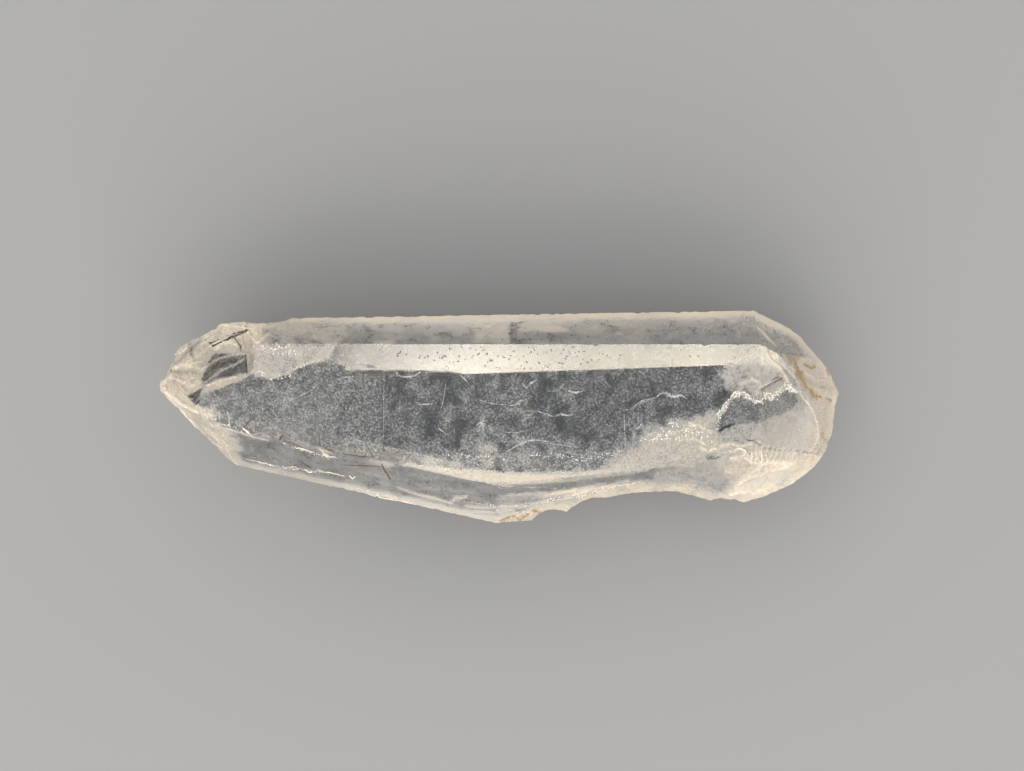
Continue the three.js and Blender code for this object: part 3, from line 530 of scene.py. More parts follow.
PALE_FILMS: tuple[Film, ...] = (
    # crest of the ledge
    Film(((26, -0.52), (26.29, -0.05), (26.12, 0.46), (26.68, 1.09), (26.93, 1.65), (27.61, 2.27)), 0.1,
          0, 0.06),
    Film(((27.61, 2.36), (28.15, 3.04), (28.63, 3.17)), 0.17, 0, 0.06),
    Film(((28.88, 2.9), (29.27, 3.14), (29.65, 2.76), (30.07, 2.36)), 0.16, 0, 0.06),
    Film(((30.32, 1.98), (30.87, 2.15), (31.17, 1.92), (31.54, 2.36)), 0.12, 0, 0.06),
    Film(((31.75, 2.32), (32.15, 2.9), (32.43, 2.36), (32.83, 2.53)), 0.17, 0, 0.06),
    Film(((33.04, 3.17), (33.48, 2.97), (33.78, 3.37), (34.15, 3.37)), 0.16, 0, 0.06),
    Film(((34.29, 3.95), (34.73, 3.51), (35.27, 3.65), (35.71, 3.2), (36.26, 3.12)), 0.36, 0, 0.06),
    Film(((36.56, 2.9), (37.1, 2.09), (37.54, 1.71), (37.88, 1.04)), 0.13, 0, 0.06),
    # teeth of the crest
    Film(((28.36, 3.27), (28.37, 2.8), (28.26, 2.32)), 0.15, 0, 0.06),
    Film(((28.73, 3.37), (28.78, 2.87), (28.7, 2.36)), 0.15, 0, 0.06),
    Film(((29.37, 3.27), (29.51, 2.76), (29.51, 2.26)), 0.15, 0, 0.06),
    Film(((29.71, 2.97), (29.9, 2.56), (29.95, 2.15)), 0.15, 0, 0.06),
    Film(((30.7, 2.36), (30.8, 1.98), (30.76, 1.61)), 0.15, 0, 0.06),
    Film(((31.65, 3.1), (31.85, 2.59), (31.92, 2.09)), 0.15, 0, 0.06),
    Film(((32.12, 3.14), (32.27, 2.61), (32.29, 2.09)), 0.15, 0, 0.06),
    Film(((32.59, 2.97), (32.82, 2.53), (32.9, 2.09)), 0.15, 0, 0.06),
    Film(((33.31, 3.44), (33.49, 3), (33.54, 2.56)), 0.15, 0, 0.06),
    Film(((33.78, 3.61), (33.95, 3.19), (33.98, 2.76)), 0.15, 0, 0.06),
    Film(((34.32, 4.22), (34.51, 3.71), (34.56, 3.2)), 0.15, 0, 0.06),
    Film(((34.76, 4.05), (34.98, 3.53), (35.07, 3)), 0.15, 0, 0.06),
    Film(((35.24, 3.95), (35.39, 3.53), (35.41, 3.1)), 0.15, 0, 0.06),
    Film(((35.71, 3.58), (35.9, 3.22), (35.95, 2.87)), 0.15, 0, 0.06),
    # crests of the front ridge and of the faces below it
    Film(((-31.27, -5.2), (-29.5, -5.55), (-27.54, -6.08)), 0.16, 0, 0.05),
    Film(((-26.17, -6.18), (-25.58, -6.08), (-24.99, -6.22)), 0.12, 0, 0.05),
    Film(((-24.21, -6.38), (-23.62, -6.77), (-23.19, -6.73)), 0.24, 0, 0.06),
    Film(((-22.64, -6.34), (-21.85, -6.67), (-20.87, -6.81), (-19.21, -7.26)), 0.2, 0, 0.06),
    Film(((-18.68, -7.12), (-18.29, -7.52), (-17.89, -7.2)), 0.26, 0, 0.06),
    Film(((-21.44, -8.5), (-20.91, -8.67)), 0.16, 0, 0.05),
    Film(((-17.17, -9.05), (-15.89, -9.76), (-14.31, -10.1), (-12.57, -10.43)), 0.26, 0, 0.06),
    Film(((-25.06, -3.61), (-24, -3.8), (-22.84, -4.19)), 0.2, 0, 0.06),
    Film(((-31.27, -1.19), (-30.69, -1.67), (-30.12, -2.15)), 0.22, 0, 0.06),
    Film(((-21.9, -3.72), (-21.42, -4.39), (-20.94, -5.11)), 0.2, 0, 0.06),
    Film(((-21.32, -4.3), (-20.74, -4.78), (-20.16, -4.68)), 0.3, 0, 0.05),
    Film(((-13.19, -10.06), (-11.96, -10.47), (-10.52, -10.88)), 0.24, 0, 0.06),
    Film(((-5.97, -10.4), (-5.52, -9.8), (-4.91, -9.93), (-4.29, -9.68)), 0.22, 0, 0.06),
    Film(((-12.48, -8.64), (-10.85, -9.25), (-9.83, -9.66)), 0.18, 0, 0.05),
    Film(((3.65, -10.82), (4.67, -10.61), (5.49, -10.36)), 0.16, 0, 0.05),
    # ribs of the ledge's wall
    Film(((30.31, -3.87), (30.44, -4.69), (30.53, -5.51)), 0.14, 0, 0.05),
    Film(((30.86, -3.93), (31.03, -4.72), (30.99, -5.55)), 0.2, 0, 0.06),
    Film(((31.51, -4.09), (31.78, -4.86), (32.02, -5.55)), 0.2, 0, 0.06),
    Film(((32.19, -4.35), (32.45, -5.03), (32.67, -5.58)), 0.14, 0, 0.05),
    Film(((32.98, -4.54), (33.33, -5.15), (33.58, -5.66)), 0.12, 0, 0.05),
    # the rest of the point
    Film(((35.16, -5.44), (35.54, -5.69), (35.85, -5.57)), 0.18, 0, 0.06),
    Film(((31.99, 8.4), (32.67, 7.46), (33.61, 6.61)), 0.3, 0, 0.06),
    Film(((28.12, -3.79), (28.97, -3.71), (29.57, -4.22), (29.06, -4.73)), 0.22, 0, 0.06),
)
RUST_FIELDS: tuple[Film, ...] = (
    # specks in the bright band behind the top face
    Film(((-12.82, 7.61), (-4.82, 7.61), (5.19, 7.21), (15.19, 7.41)), 3, 0.25),
    Film(((-2.42, 7.91), (-1.92, 7.61), (-1.62, 7.21)), 0.6, 0.25),
    Film(((7.79, 8.41), (8.59, 8.21), (9.19, 7.81)), 0.8, 0.25),
    Film(((22.33, 7.95), (23.17, 7.61), (24.02, 7.44)), 1.2, 0.25),
)
DARK_FILMS: tuple[Film, ...] = (
    # single ones in the left half
    Film(((-24.42, -5.37), (-23.93, -5.86), (-23.3, -6.34)), 0.15, 0, 0.05),
    Film(((-36.91, 1.51), (-36.66, 1.79), (-36.37, 2.12)), 0.14, 0, 0.05),
    Film(((-16.65, -0.64), (-16.3, -0.41)), 0.13, 0.1),
    # around the open crack of the root
    Film(((-35.51, 9.17), (-34.72, 9.52), (-33.54, 9.96), (-32.36, 10.41), (-31.73, 10.61)), 0.12, 0,
          0.05),
    Film(((-36, 9.17), (-35.51, 9.09), (-34.91, 9.29)), 0.26, 0, 0.06),
    Film(((-33.23, 10), (-32.54, 9.55), (-31.95, 8.82), (-31.66, 8.13)), 0.12, 0, 0.05),
    Film(((-31.23, 8.08), (-30.98, 6.92), (-30.8, 5.76), (-30.69, 5.33)), 0.12, 0, 0.05),
    # short ones further right
    Film(((-1.42, -7.4), (-0.42, -6.6), (0.78, -5.6)), 0.1, 0.05),
    Film(((26.42, -1.5), (27.14, -1.09), (28.02, -0.77)), 0.09, 0, 0.05),
    Film(((29.52, -2.59), (30.12, -2.76), (30.71, -2.59)), 0.08, 0, 0.05),
    Film(((33.86, 4.99), (33.18, 4.73), (32.67, 4.39)), 0.1, 0, 0.05),
)


def smooth_step(low: float, high: float, value: np.ndarray) -> np.ndarray:
    """Ease value from 0 at low to 1 at high."""
    t = np.clip((value - low) / (high - low), 0.0, 1.0)
    return t * t * (3.0 - 2.0 * t)


def distance_to_side(xy: np.ndarray, a: np.ndarray, b: np.ndarray) -> np.ndarray:
    """Measure how far points lie from one straight side.

    Args:
        xy: Positions in plan.
        a: Where the side starts.
        b: Where it ends.

    Returns:
        One distance a point.
    """
    side = b - a
    along = np.clip(((xy - a) @ side) / max(side @ side, NOTHING), 0.0, 1.0)
    return np.linalg.norm(xy - a - along[:, None] * side, axis=1)


def distance_to_path(points: np.ndarray, path: Line) -> np.ndarray:
    """Measure how far points lie from an open path.

    Args:
        points: Positions; only X and Y count.
        path: Corners of the path.

    Returns:
        One distance a point, in plan.
    """
    corners = np.array(path, float)
    sides = zip(corners[:-1], corners[1:])
    return np.min([distance_to_side(points[:, :2], a, b) for a, b in sides], axis=0)


def depth_inside(points: np.ndarray, outline: Line) -> np.ndarray:
    """Measure how far points lie from a closed outline.

    Args:
        points: Positions; only X and Y count.
        outline: Corners of the shape.

    Returns:
        One distance a point, in plan, positive inside the outline.
    """
    x, y = points[:, 0], points[:, 1]
    corners = np.array(outline, float)
    inside = np.zeros(len(points), bool)
    for a, b in zip(corners, np.roll(corners, -1, axis=0)):
        rise = b[1] - a[1] if abs(b[1] - a[1]) >= NOTHING else NOTHING
        spans = (a[1] > y) != (b[1] > y)
        inside ^= spans & (x < (b[0] - a[0]) * (y - a[1]) / rise + a[0])
    nearest = distance_to_path(points, (*outline, outline[0]))
    return np.where(inside, nearest, -nearest)


def smooth_path(path: Line, step: float) -> list[Point2]:
    """Run a cubic curve through a path's corners and sample it evenly.

    Args:
        path: Corners in plan.
        step: Distance between samples.

    Returns:
        Points along the rounded path.
    """
    corners = [Vector(p) for p in path]
    ends = [corners[0] * 2 - corners[1], *corners, corners[-1] * 2 - corners[-2]]
    run: list[Point2] = []
    for a, b, c, d in zip(ends, ends[1:], ends[2:], ends[3:]):
        square, cube = 2 * a - 5 * b + 4 * c - d, 3 * b - a - 3 * c + d
        parts = max(1, round((c - b).length / step))
        for part in range(parts):
            t = part / parts
            spot = 0.5 * (2 * b + (c - a) * t + square * t * t + cube * t * t * t)
            run.append((spot.x, spot.y))
    run.append(tuple(corners[-1]))
    return run


def heading(run: list[Point2], index: int) -> Vector:
    """Direction in which a sampled path runs at one of its points, level."""
    ahead = Vector(run[min(index + 1, len(run) - 1)]) - Vector(run[max(index - 1, 0)])
    return Vector((ahead.x, ahead.y, 0.0))


def swell(run: list[Point2], index: int) -> float:
    """Rise from 0 at a sampled path's ends to 1 in its middle."""
    return math.sin(math.pi * (index / (len(run) - 1)))


def mesh_object(name: str, mesh: bpy.types.Mesh) -> bpy.types.Object:
    """Link a mesh to the scene at the origin.

    Args:
        name: Name of the piece.
        mesh: Its mesh, in metres.

    Returns:
        The new object.
    """
    thing = bpy.data.objects.new(name, mesh)
    bpy.context.scene.collection.objects.link(thing)
    return thing


def inner_piece(name: str, mesh: bpy.types.Mesh) -> bpy.types.Object:
    """Link a piece that lies inside the crystal and let it ride with it.

    Args:
        name: Name of the piece.
        mesh: Its mesh, in metres.

    Returns:
        The new object.
    """
    piece = mesh_object(name, mesh)
    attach(piece, BODY)
    return piece


class NodeBench:
    """Short-hand for wiring the nodes of one tree."""

    def __init__(self, tree: bpy.types.NodeTree) -> None:
        """Work on a tree."""
        self.tree = tree

    def node(self, kind: str, links: dict | None = None, **settings: object) -> bpy.types.Node:
        """Add a node.

        Args:
            kind: Node type name.
            links: Socket values or source sockets, by socket name or index.
            settings: Node properties.

        Returns:
            The new node.
        """
        made = self.tree.nodes.new(kind)
        for key, value in settings.items():
            setattr(made, key, value)
        for key, value in (links or {}).items():
            if isinstance(value, Socket):
                self.tree.links.new(value, made.inputs[key])
            else:
                made.inputs[key].default_value = value
        return made

    def math(self, operation: str, a: object, b: object = 0.0, clamp: bool = False) -> Socket:
        """Combine two values with one Math node, whose result may be kept within 0 and 1."""
        made = self.node("ShaderNodeMath", {0: a, 1: b}, operation=operation, use_clamp=clamp)
        return made.outputs[0]

    def add(self, a: object, b: object, clamp: bool = False) -> Socket:
        """Add two values."""
        return self.math("ADD", a, b, clamp)

    def times(self, a: object, b: object, clamp: bool = False) -> Socket:
        """Multiply two values."""
        return self.math("MULTIPLY", a, b, clamp)

    def varied(self, least: Point3, most: Point3, seed: Socket) -> Socket:
        """Draw a random vector for each point."""
        ends = {"Min": least, "Max": most, "Seed": seed}
        return self.node("FunctionNodeRandomValue", ends, data_type="FLOAT_VECTOR").outputs[0]


class MaterialBench(NodeBench):
    """Short-hand for wiring one material's nodes."""

    def __init__(self, name: str) -> None:
        """Start an empty node material with an output.

        Args:
            name: The material's name.
        """
        self.material = bpy.data.materials.new(name)
        self.material.use_nodes = True
        super().__init__(self.material.node_tree)
        self.tree.nodes.clear()
        self.output = self.tree.nodes.new("ShaderNodeOutputMaterial")

    def ramp(
        self, value: object, given: Span, wanted: Span = (0.0, 1.0), kind: str = "SMOOTHSTEP"
    ) -> Socket:
        """Carry a value from one range into another.

        Args:
            value: Value or socket.
            given: Where the value's range starts and ends.
            wanted: What the result is at either end.
            kind: How it goes from one to the other.

        Returns:
            The result.
        """
        ends = {"From Min": given[0], "From Max": given[1], "To Min": wanted[0], "To Max": wanted[1]}
        made = self.node("ShaderNodeMapRange", {"Value": value, **ends}, interpolation_type=kind)
        return made.outputs["Result"]

    def mask(self, name: str) -> Socket:
        """Read one of the skin's point attributes."""
        return self.node("ShaderNodeAttribute", attribute_name=name).outputs["Fac"]

    def millimetres(self, stretch: Point3 = (1.0, 1.0, 1.0)) -> Socket:
        """Read where a place lies on the piece.

        Args:
            stretch: What X, Y and Z are multiplied by.

        Returns:
            Object coordinates in mm.
        """
        where = self.node("ShaderNodeTexCoord").outputs["Object"]
        scale = tuple(s / MM for s in stretch)
        return self.node("ShaderNodeMapping", {"Vector": where, "Scale": scale}).outputs[0]

    def noise(self, where: Socket, pitch: float, rough: float = 0.55) -> Socket:
        """Make a noise about 0.5 from coordinates in mm and the size of its lumps."""
        sizes = {"Scale": 1.0 / pitch, "Detail": NOISE_DETAIL, "Roughness": rough}
        return self.node("ShaderNodeTexNoise", {"Vector": where, **sizes}).outputs["Fac"]

    def blend(self, share: object, first: Colour | Socket, second: Colour) -> Socket:
        """Mix two colours.

        Args:
            share: How much of the second colour shows.
            first: Colour at a share of 0.
            second: Colour at a share of 1.

        Returns:
            The mixed colour.
        """
        first = first if isinstance(first, Socket) else (*first, 1.0)
        parts = {MIX_SHARE: share, MIX_FIRST: first, MIX_SECOND: (*second, 1.0)}
        return self.node("ShaderNodeMix", parts, data_type="RGBA").outputs[MIX_RESULT]

    def bump(self, height: Socket, strength: object, depth: float) -> Socket:
        """Turn a height into a normal, with its depth in mm."""
        sizes = {"Height": height, "Strength": strength, "Distance": depth * MM}
        return self.node("ShaderNodeBump", sizes).outputs[0]

    def surface(self, **inputs: object) -> None:
        """Show a principled shader.

        Args:
            inputs: Its values and sockets, by name with underscores for spaces.
        """
        named = {name.replace("_", " "): value for name, value in inputs.items()}
        shader = self.node("ShaderNodeBsdfPrincipled", named)
        self.tree.links.new(shader.outputs[0], self.output.inputs["Surface"])


@dataclass(frozen=True)
class QuartzFinish:
    """Clear quartz, frosted, milky and iron-stained where the skin's masks say so, and painted near-black
    on the walls of the root's open crack.

    A field of two numbers is a range: where it starts and where it ends.
    """

    clear_tint: Colour = (0.97, 0.98, 0.99)
    milk_tint: Colour = (0.7, 0.63, 0.525)
    stain_tint: Colour = (0.37, 0.235, 0.1)
    # near-black painted on the walls of the root's open crack
    crack_wall_dark_tint: Colour = (0.02, 0.016, 0.013)
    roughness: Span = (0.02, 0.62)
    absorb_tint: Colour = (0.97, 0.89, 0.72)
    absorb_density: float = 18.0
    fleck_pitch: float = 0.24
    fleck_rough: float = 0.8
    fleck_span: Span = (0.34, 0.66)
    growth_pitch: float = 0.9
    growth_rough: float = 0.7
    growth_stretch: Point3 = (1.0, 0.07, 0.07)
    growth_line: float = 0.012
    line_frost: Span = (0.05, 0.6)
    line_strength: Span = (0.12, 0.5)
    cover_span: Span = (0.42, 1.65)
    calm_frost: Span = (0.1, 0.5)
    calm_strength: Span = (0.0, 0.6)
    share_strength: Span = (0.82, 1.06)
    grain_most: float = 0.25
    grain_span: Span = (0.1, 1.1)
    grain_strength: Span = (0.19, 0.57)
    stain_flecks: Span = (0.3, 0.7)
    stain_ragged: Span = (-0.2, 0.2)
    rust_span: Span = (0.16, 0.72)
    rust_cover: float = 0.75
    crack_wall_dark_span: Span = (0.35, 0.65)
    pale_span: Span = (0.1, 0.6)
    bump_strength: Span = (0.01, 0.45)
    bump_depth: float = 0.06

    def material(self) -> bpy.types.Material:
        """Build the crystal's material.

        Returns:
            The material, whose inside takes up a little light as well.
        """
        bench = MaterialBench("quartz")
        flecks = bench.noise(bench.millimetres(), self.fleck_pitch, self.fleck_rough)
        even = bench.ramp(flecks, self.fleck_span, kind="LINEAR")
        frost_mask, milk_mask = bench.mask("frost"), bench.mask("milk")
        share = self._share(bench, even, frost_mask)
        frost = bench.times(bench.add(frost_mask, share), 0.5, clamp=True)
        least = bench.math("MINIMUM", milk_mask, self.grain_most)
        grain = bench.times(least, bench.ramp(even, self.grain_span, self.grain_strength))
        milk = bench.add(bench.times(milk_mask, share), grain, clamp=True)
        ragged = bench.ramp(flecks, self.stain_flecks, self.stain_ragged)
        rust = bench.ramp(bench.add(bench.mask("stain"), ragged), self.rust_span)
        # the open crack's walls are painted near-black
        crack_wall_dark = bench.ramp(bench.add(bench.mask("crack_wall_dark"), ragged), self.crack_wall_dark_span)
        tint = bench.blend(bench.ramp(milk, self.pale_span), self.clear_tint, self.milk_tint)
        tint = bench.blend(rust, tint, self.stain_tint)
        tint = bench.blend(crack_wall_dark, tint, self.crack_wall_dark_tint)
        hidden = bench.math("MAXIMUM", milk, bench.times(rust, self.rust_cover))
        hidden = bench.math("MAXIMUM", hidden, crack_wall_dark)
        bench.surface(
            Base_Color=tint,
            Roughness=bench.ramp(frost, (0.0, 1.0), self.roughness),
            Transmission_Weight=bench.math("SUBTRACT", 1.0, hidden, clamp=True),
            Normal=bench.bump(
                flecks, bench.ramp(frost, (0.0, 1.0), self.bump_strength), self.bump_depth
            ),
            IOR=IOR_QUARTZ,
        )
        body = bench.node(
            "ShaderNodeVolumeAbsorption",
            {"Color": (*self.absorb_tint, 1.0), "Density": self.absorb_density},
        )
        bench.tree.links.new(body.outputs[0], bench.output.inputs["Volume"])
        return bench.material

    def _share(self, bench: MaterialBench, even: Socket, frost_mask: Socket) -> Socket:
        """Break the frost and milk up into flecks and fine growth lines.

        Args:
            bench: The material's bench.
            even: Flecks, from 0 to 1.
            frost_mask: The skin's frost.

        Returns:
            The share of the frost and milk that shows at each place.
        """
        across = bench.millimetres(self.growth_stretch)
        grown = bench.noise(across, self.growth_pitch, self.growth_rough)
        off = bench.math("ABSOLUTE", bench.math("SUBTRACT", grown, 0.5))
        line = bench.ramp(off, (self.growth_line, 0.0))
        marks = bench.times(line, bench.ramp(frost_mask, self.line_frost, self.line_strength))
        cover = bench.ramp(bench.add(even, frost_mask), self.cover_span)
        cover = bench.math("MAXIMUM", cover, marks)
        calm = bench.ramp(frost_mask, self.calm_frost, self.calm_strength)
        share = bench.add(calm, bench.times(bench.math("SUBTRACT", 1.0, calm), cover))
        return bench.times(share, bench.ramp(even, (0.0, 1.0), self.share_strength))


@dataclass
class SkinMasks:
    """What shows at each point of the skin: frost, milk, stain and the near-black of the open crack's
    walls, one value a point.

    upward is the height of the point's normal, and top the share of its faces in the top face.
    A field of two numbers is a range: where it starts and where it ends. A streak's is a share
    of its width.
    """

    points: np.ndarray
    upward: np.ndarray
    top: np.ndarray
    frost: np.ndarray
    milk: np.ndarray
    crack_wall_dark: np.ndarray
    stain: np.ndarray = field(init=False)
    rag: np.ndarray = field(init=False)
    cloud: np.ndarray = field(init=False)
    rising: float = 0.12
    level: float = -0.1
    falling: Span = (-0.9, -0.2)
    rim_ragged: float = 0.5
    rim_span: Span = (0.25, 1.0)
    rim_frost: float = 0.7
    cloud_milk: float = 0.35
    bar_share: float = 0.25
    haze_span: Span = (0.25, 2.0)
    blot_span: Span = (0.12, 0.6)
    blot_milk: float = 0.32
    drift_reach: float = 0.9
    swirl_milk: float = 0.34
    swirl_frost: float = 0.1
    rag_milk: float = 0.2
    clump_frost: float = 0.14
    wisp_rag: float = 0.35
    wisp_width: float = 0.16
    wisp_milk: float = 0.1
    wisp_from: float = 0.3
    top_calm: float = 0.6
    streak_span: Span = (0.4, 1.3)

    def __post_init__(self) -> None:
        """Start with no stain, and sample the noises that several steps share."""
        self.stain = np.zeros(len(self.points))
        self.rag = RAG.at(self.points)
        self.cloud = CLOUD.at(self.points)

    def reached(self, side: Side) -> np.ndarray:
        """Tell which points a patch of one side may touch.

        Args:
            side: Which faces it may touch.

        Returns:
            A share of each point, or whether the point belongs to the side.
        """
        if side is Side.TOP_ONLY:
            return self.top
        if side is Side.UPWARD:
            return self.upward > self.rising
        return (self.upward > self.falling[0]) & (self.upward < self.falling[1])

    def age(self, rim: np.ndarray, margin: np.ndarray, reach: np.ndarray) -> None:
        """Cloud the faces, and whiten their margins along the crystal's widest line.

        Args:
            rim: Distance to that line.
            margin: How milky each margin is.
            reach: How wide each margin is.
        """
        edge = 1.0 - smooth_step(*self.rim_span, (rim + self.rim_ragged * self.rag) / reach)
        self.milk = self.milk * (1.0 + self.cloud_milk * self.cloud)
        self.milk = self.milk + (np.maximum(margin, self.milk) - self.milk) * edge
        worn = (np.maximum(self.frost, self.rim_frost) - self.frost) * (margin > 0.0)
        self.frost = self.frost + worn * edge

    def veil_top(self) -> None:
        """Lay an uneven haze over the clear top face."""
        haze = 1.0 + HAZE.at(self.points) + self.bar_share * BARS.at(self.points)
        self.milk = self.milk * (1.0 + (np.clip(haze, *self.haze_span) - 1.0) * self.top)

    def lay(self, patch: Patch) -> None:
        """Give a patch its own frost and milk.

        Args:
            patch: The patch.
        """
        depth = depth_inside(self.points, patch.outline) + patch.ragged * self.rag
        here = smooth_step(-patch.soft, patch.soft, depth) * self.reached(patch.side)
        self.frost = self.frost + (patch.frost - self.frost) * here
        self.milk = self.milk + (patch.milk - self.milk) * here

    def mottle(self) -> None:
        """Blot the lower front faces, and swirl the milk of every face that isn't low."""
        low_front = self.reached(Side.DOWNWARD) & (self.points[:, 1] < 0.0)
        blots = smooth_step(*self.blot_span, BLOTS.at(self.points))
        self.milk = self.milk + self.blot_milk * blots * low_front
        drift = np.stack([self.rag, self.cloud, self.rag], axis=1)
        swirl = SWIRL.at(self.points + self.drift_reach * drift)
        wisp = 1.0 - smooth_step(0.0, self.wisp_width, np.abs(swirl + self.wisp_rag * self.rag))
        raised = self.upward > self.level
        share = 1.0 - self.top_calm * self.top
        uneven = self.swirl_milk * swirl + self.rag_milk * self.rag
        self.milk = self.milk * np.where(raised, 1.0 + uneven * share, 1.0)
        self.milk = self.milk + self.wisp_milk * wisp * (self.milk > self.wisp_from) * share
        clumps = self.clump_frost * CLUMPS.at(self.points)
        self.frost = self.frost + np.where(raised, clumps + self.swirl_frost * swirl, 0.0)

    def line(self, crease: Crease) -> None:
        """Make a crease paler or darker: painted highlight and frosted wear on a crest, painted shade in
        a groove.

        Args:
            crease: The crease.
        """
        here = near_path(self.points, crease) * self.reached(Side.UPWARD)
        # painted highlight or painted shade along the crease; only a paler one also gains frost
        self.milk = self.milk + crease.painted_light_and_wear * here
        self.frost = self.frost + np.maximum(0.0, crease.painted_light_and_wear) * here

    def draw(self, streak: Streak) -> None:
        """Draw a streak over what is there.

        Args:
            streak: The streak.
        """
        away = distance_to_path(self.points, streak.path) + streak.ragged * self.rag
        full, gone = (streak.width * share for share in self.streak_span)
        here = 1.0 - smooth_step(full, gone, away)
        here = here * (self.upward > self.level)
        self.frost = np.maximum(self.frost, streak.frost * here)
        self.milk = np.maximum(self.milk, streak.milk * here)
        self.stain = np.maximum(self.stain, streak.stain * here)

    def write(self, mesh: bpy.types.Mesh) -> None:
        """Keep the masks as point attributes.

        Args:
            mesh: The skin.
        """
        for name in ("frost", "milk", "stain", "crack_wall_dark"):
            values = np.clip(getattr(self, name), 0.0, 1.0).astype(np.float32)
            mesh.attributes.new(name, "FLOAT", "POINT").data.foreach_set("value", values)


def near_path(points: np.ndarray, crease: Crease) -> np.ndarray:
    """Rise from 0 beside a crease to 1 on it."""
    away = np.clip(distance_to_path(points, crease.path) / crease.width, 0.0, 1.0)
    return (1.0 - away) ** CREASE_FALL


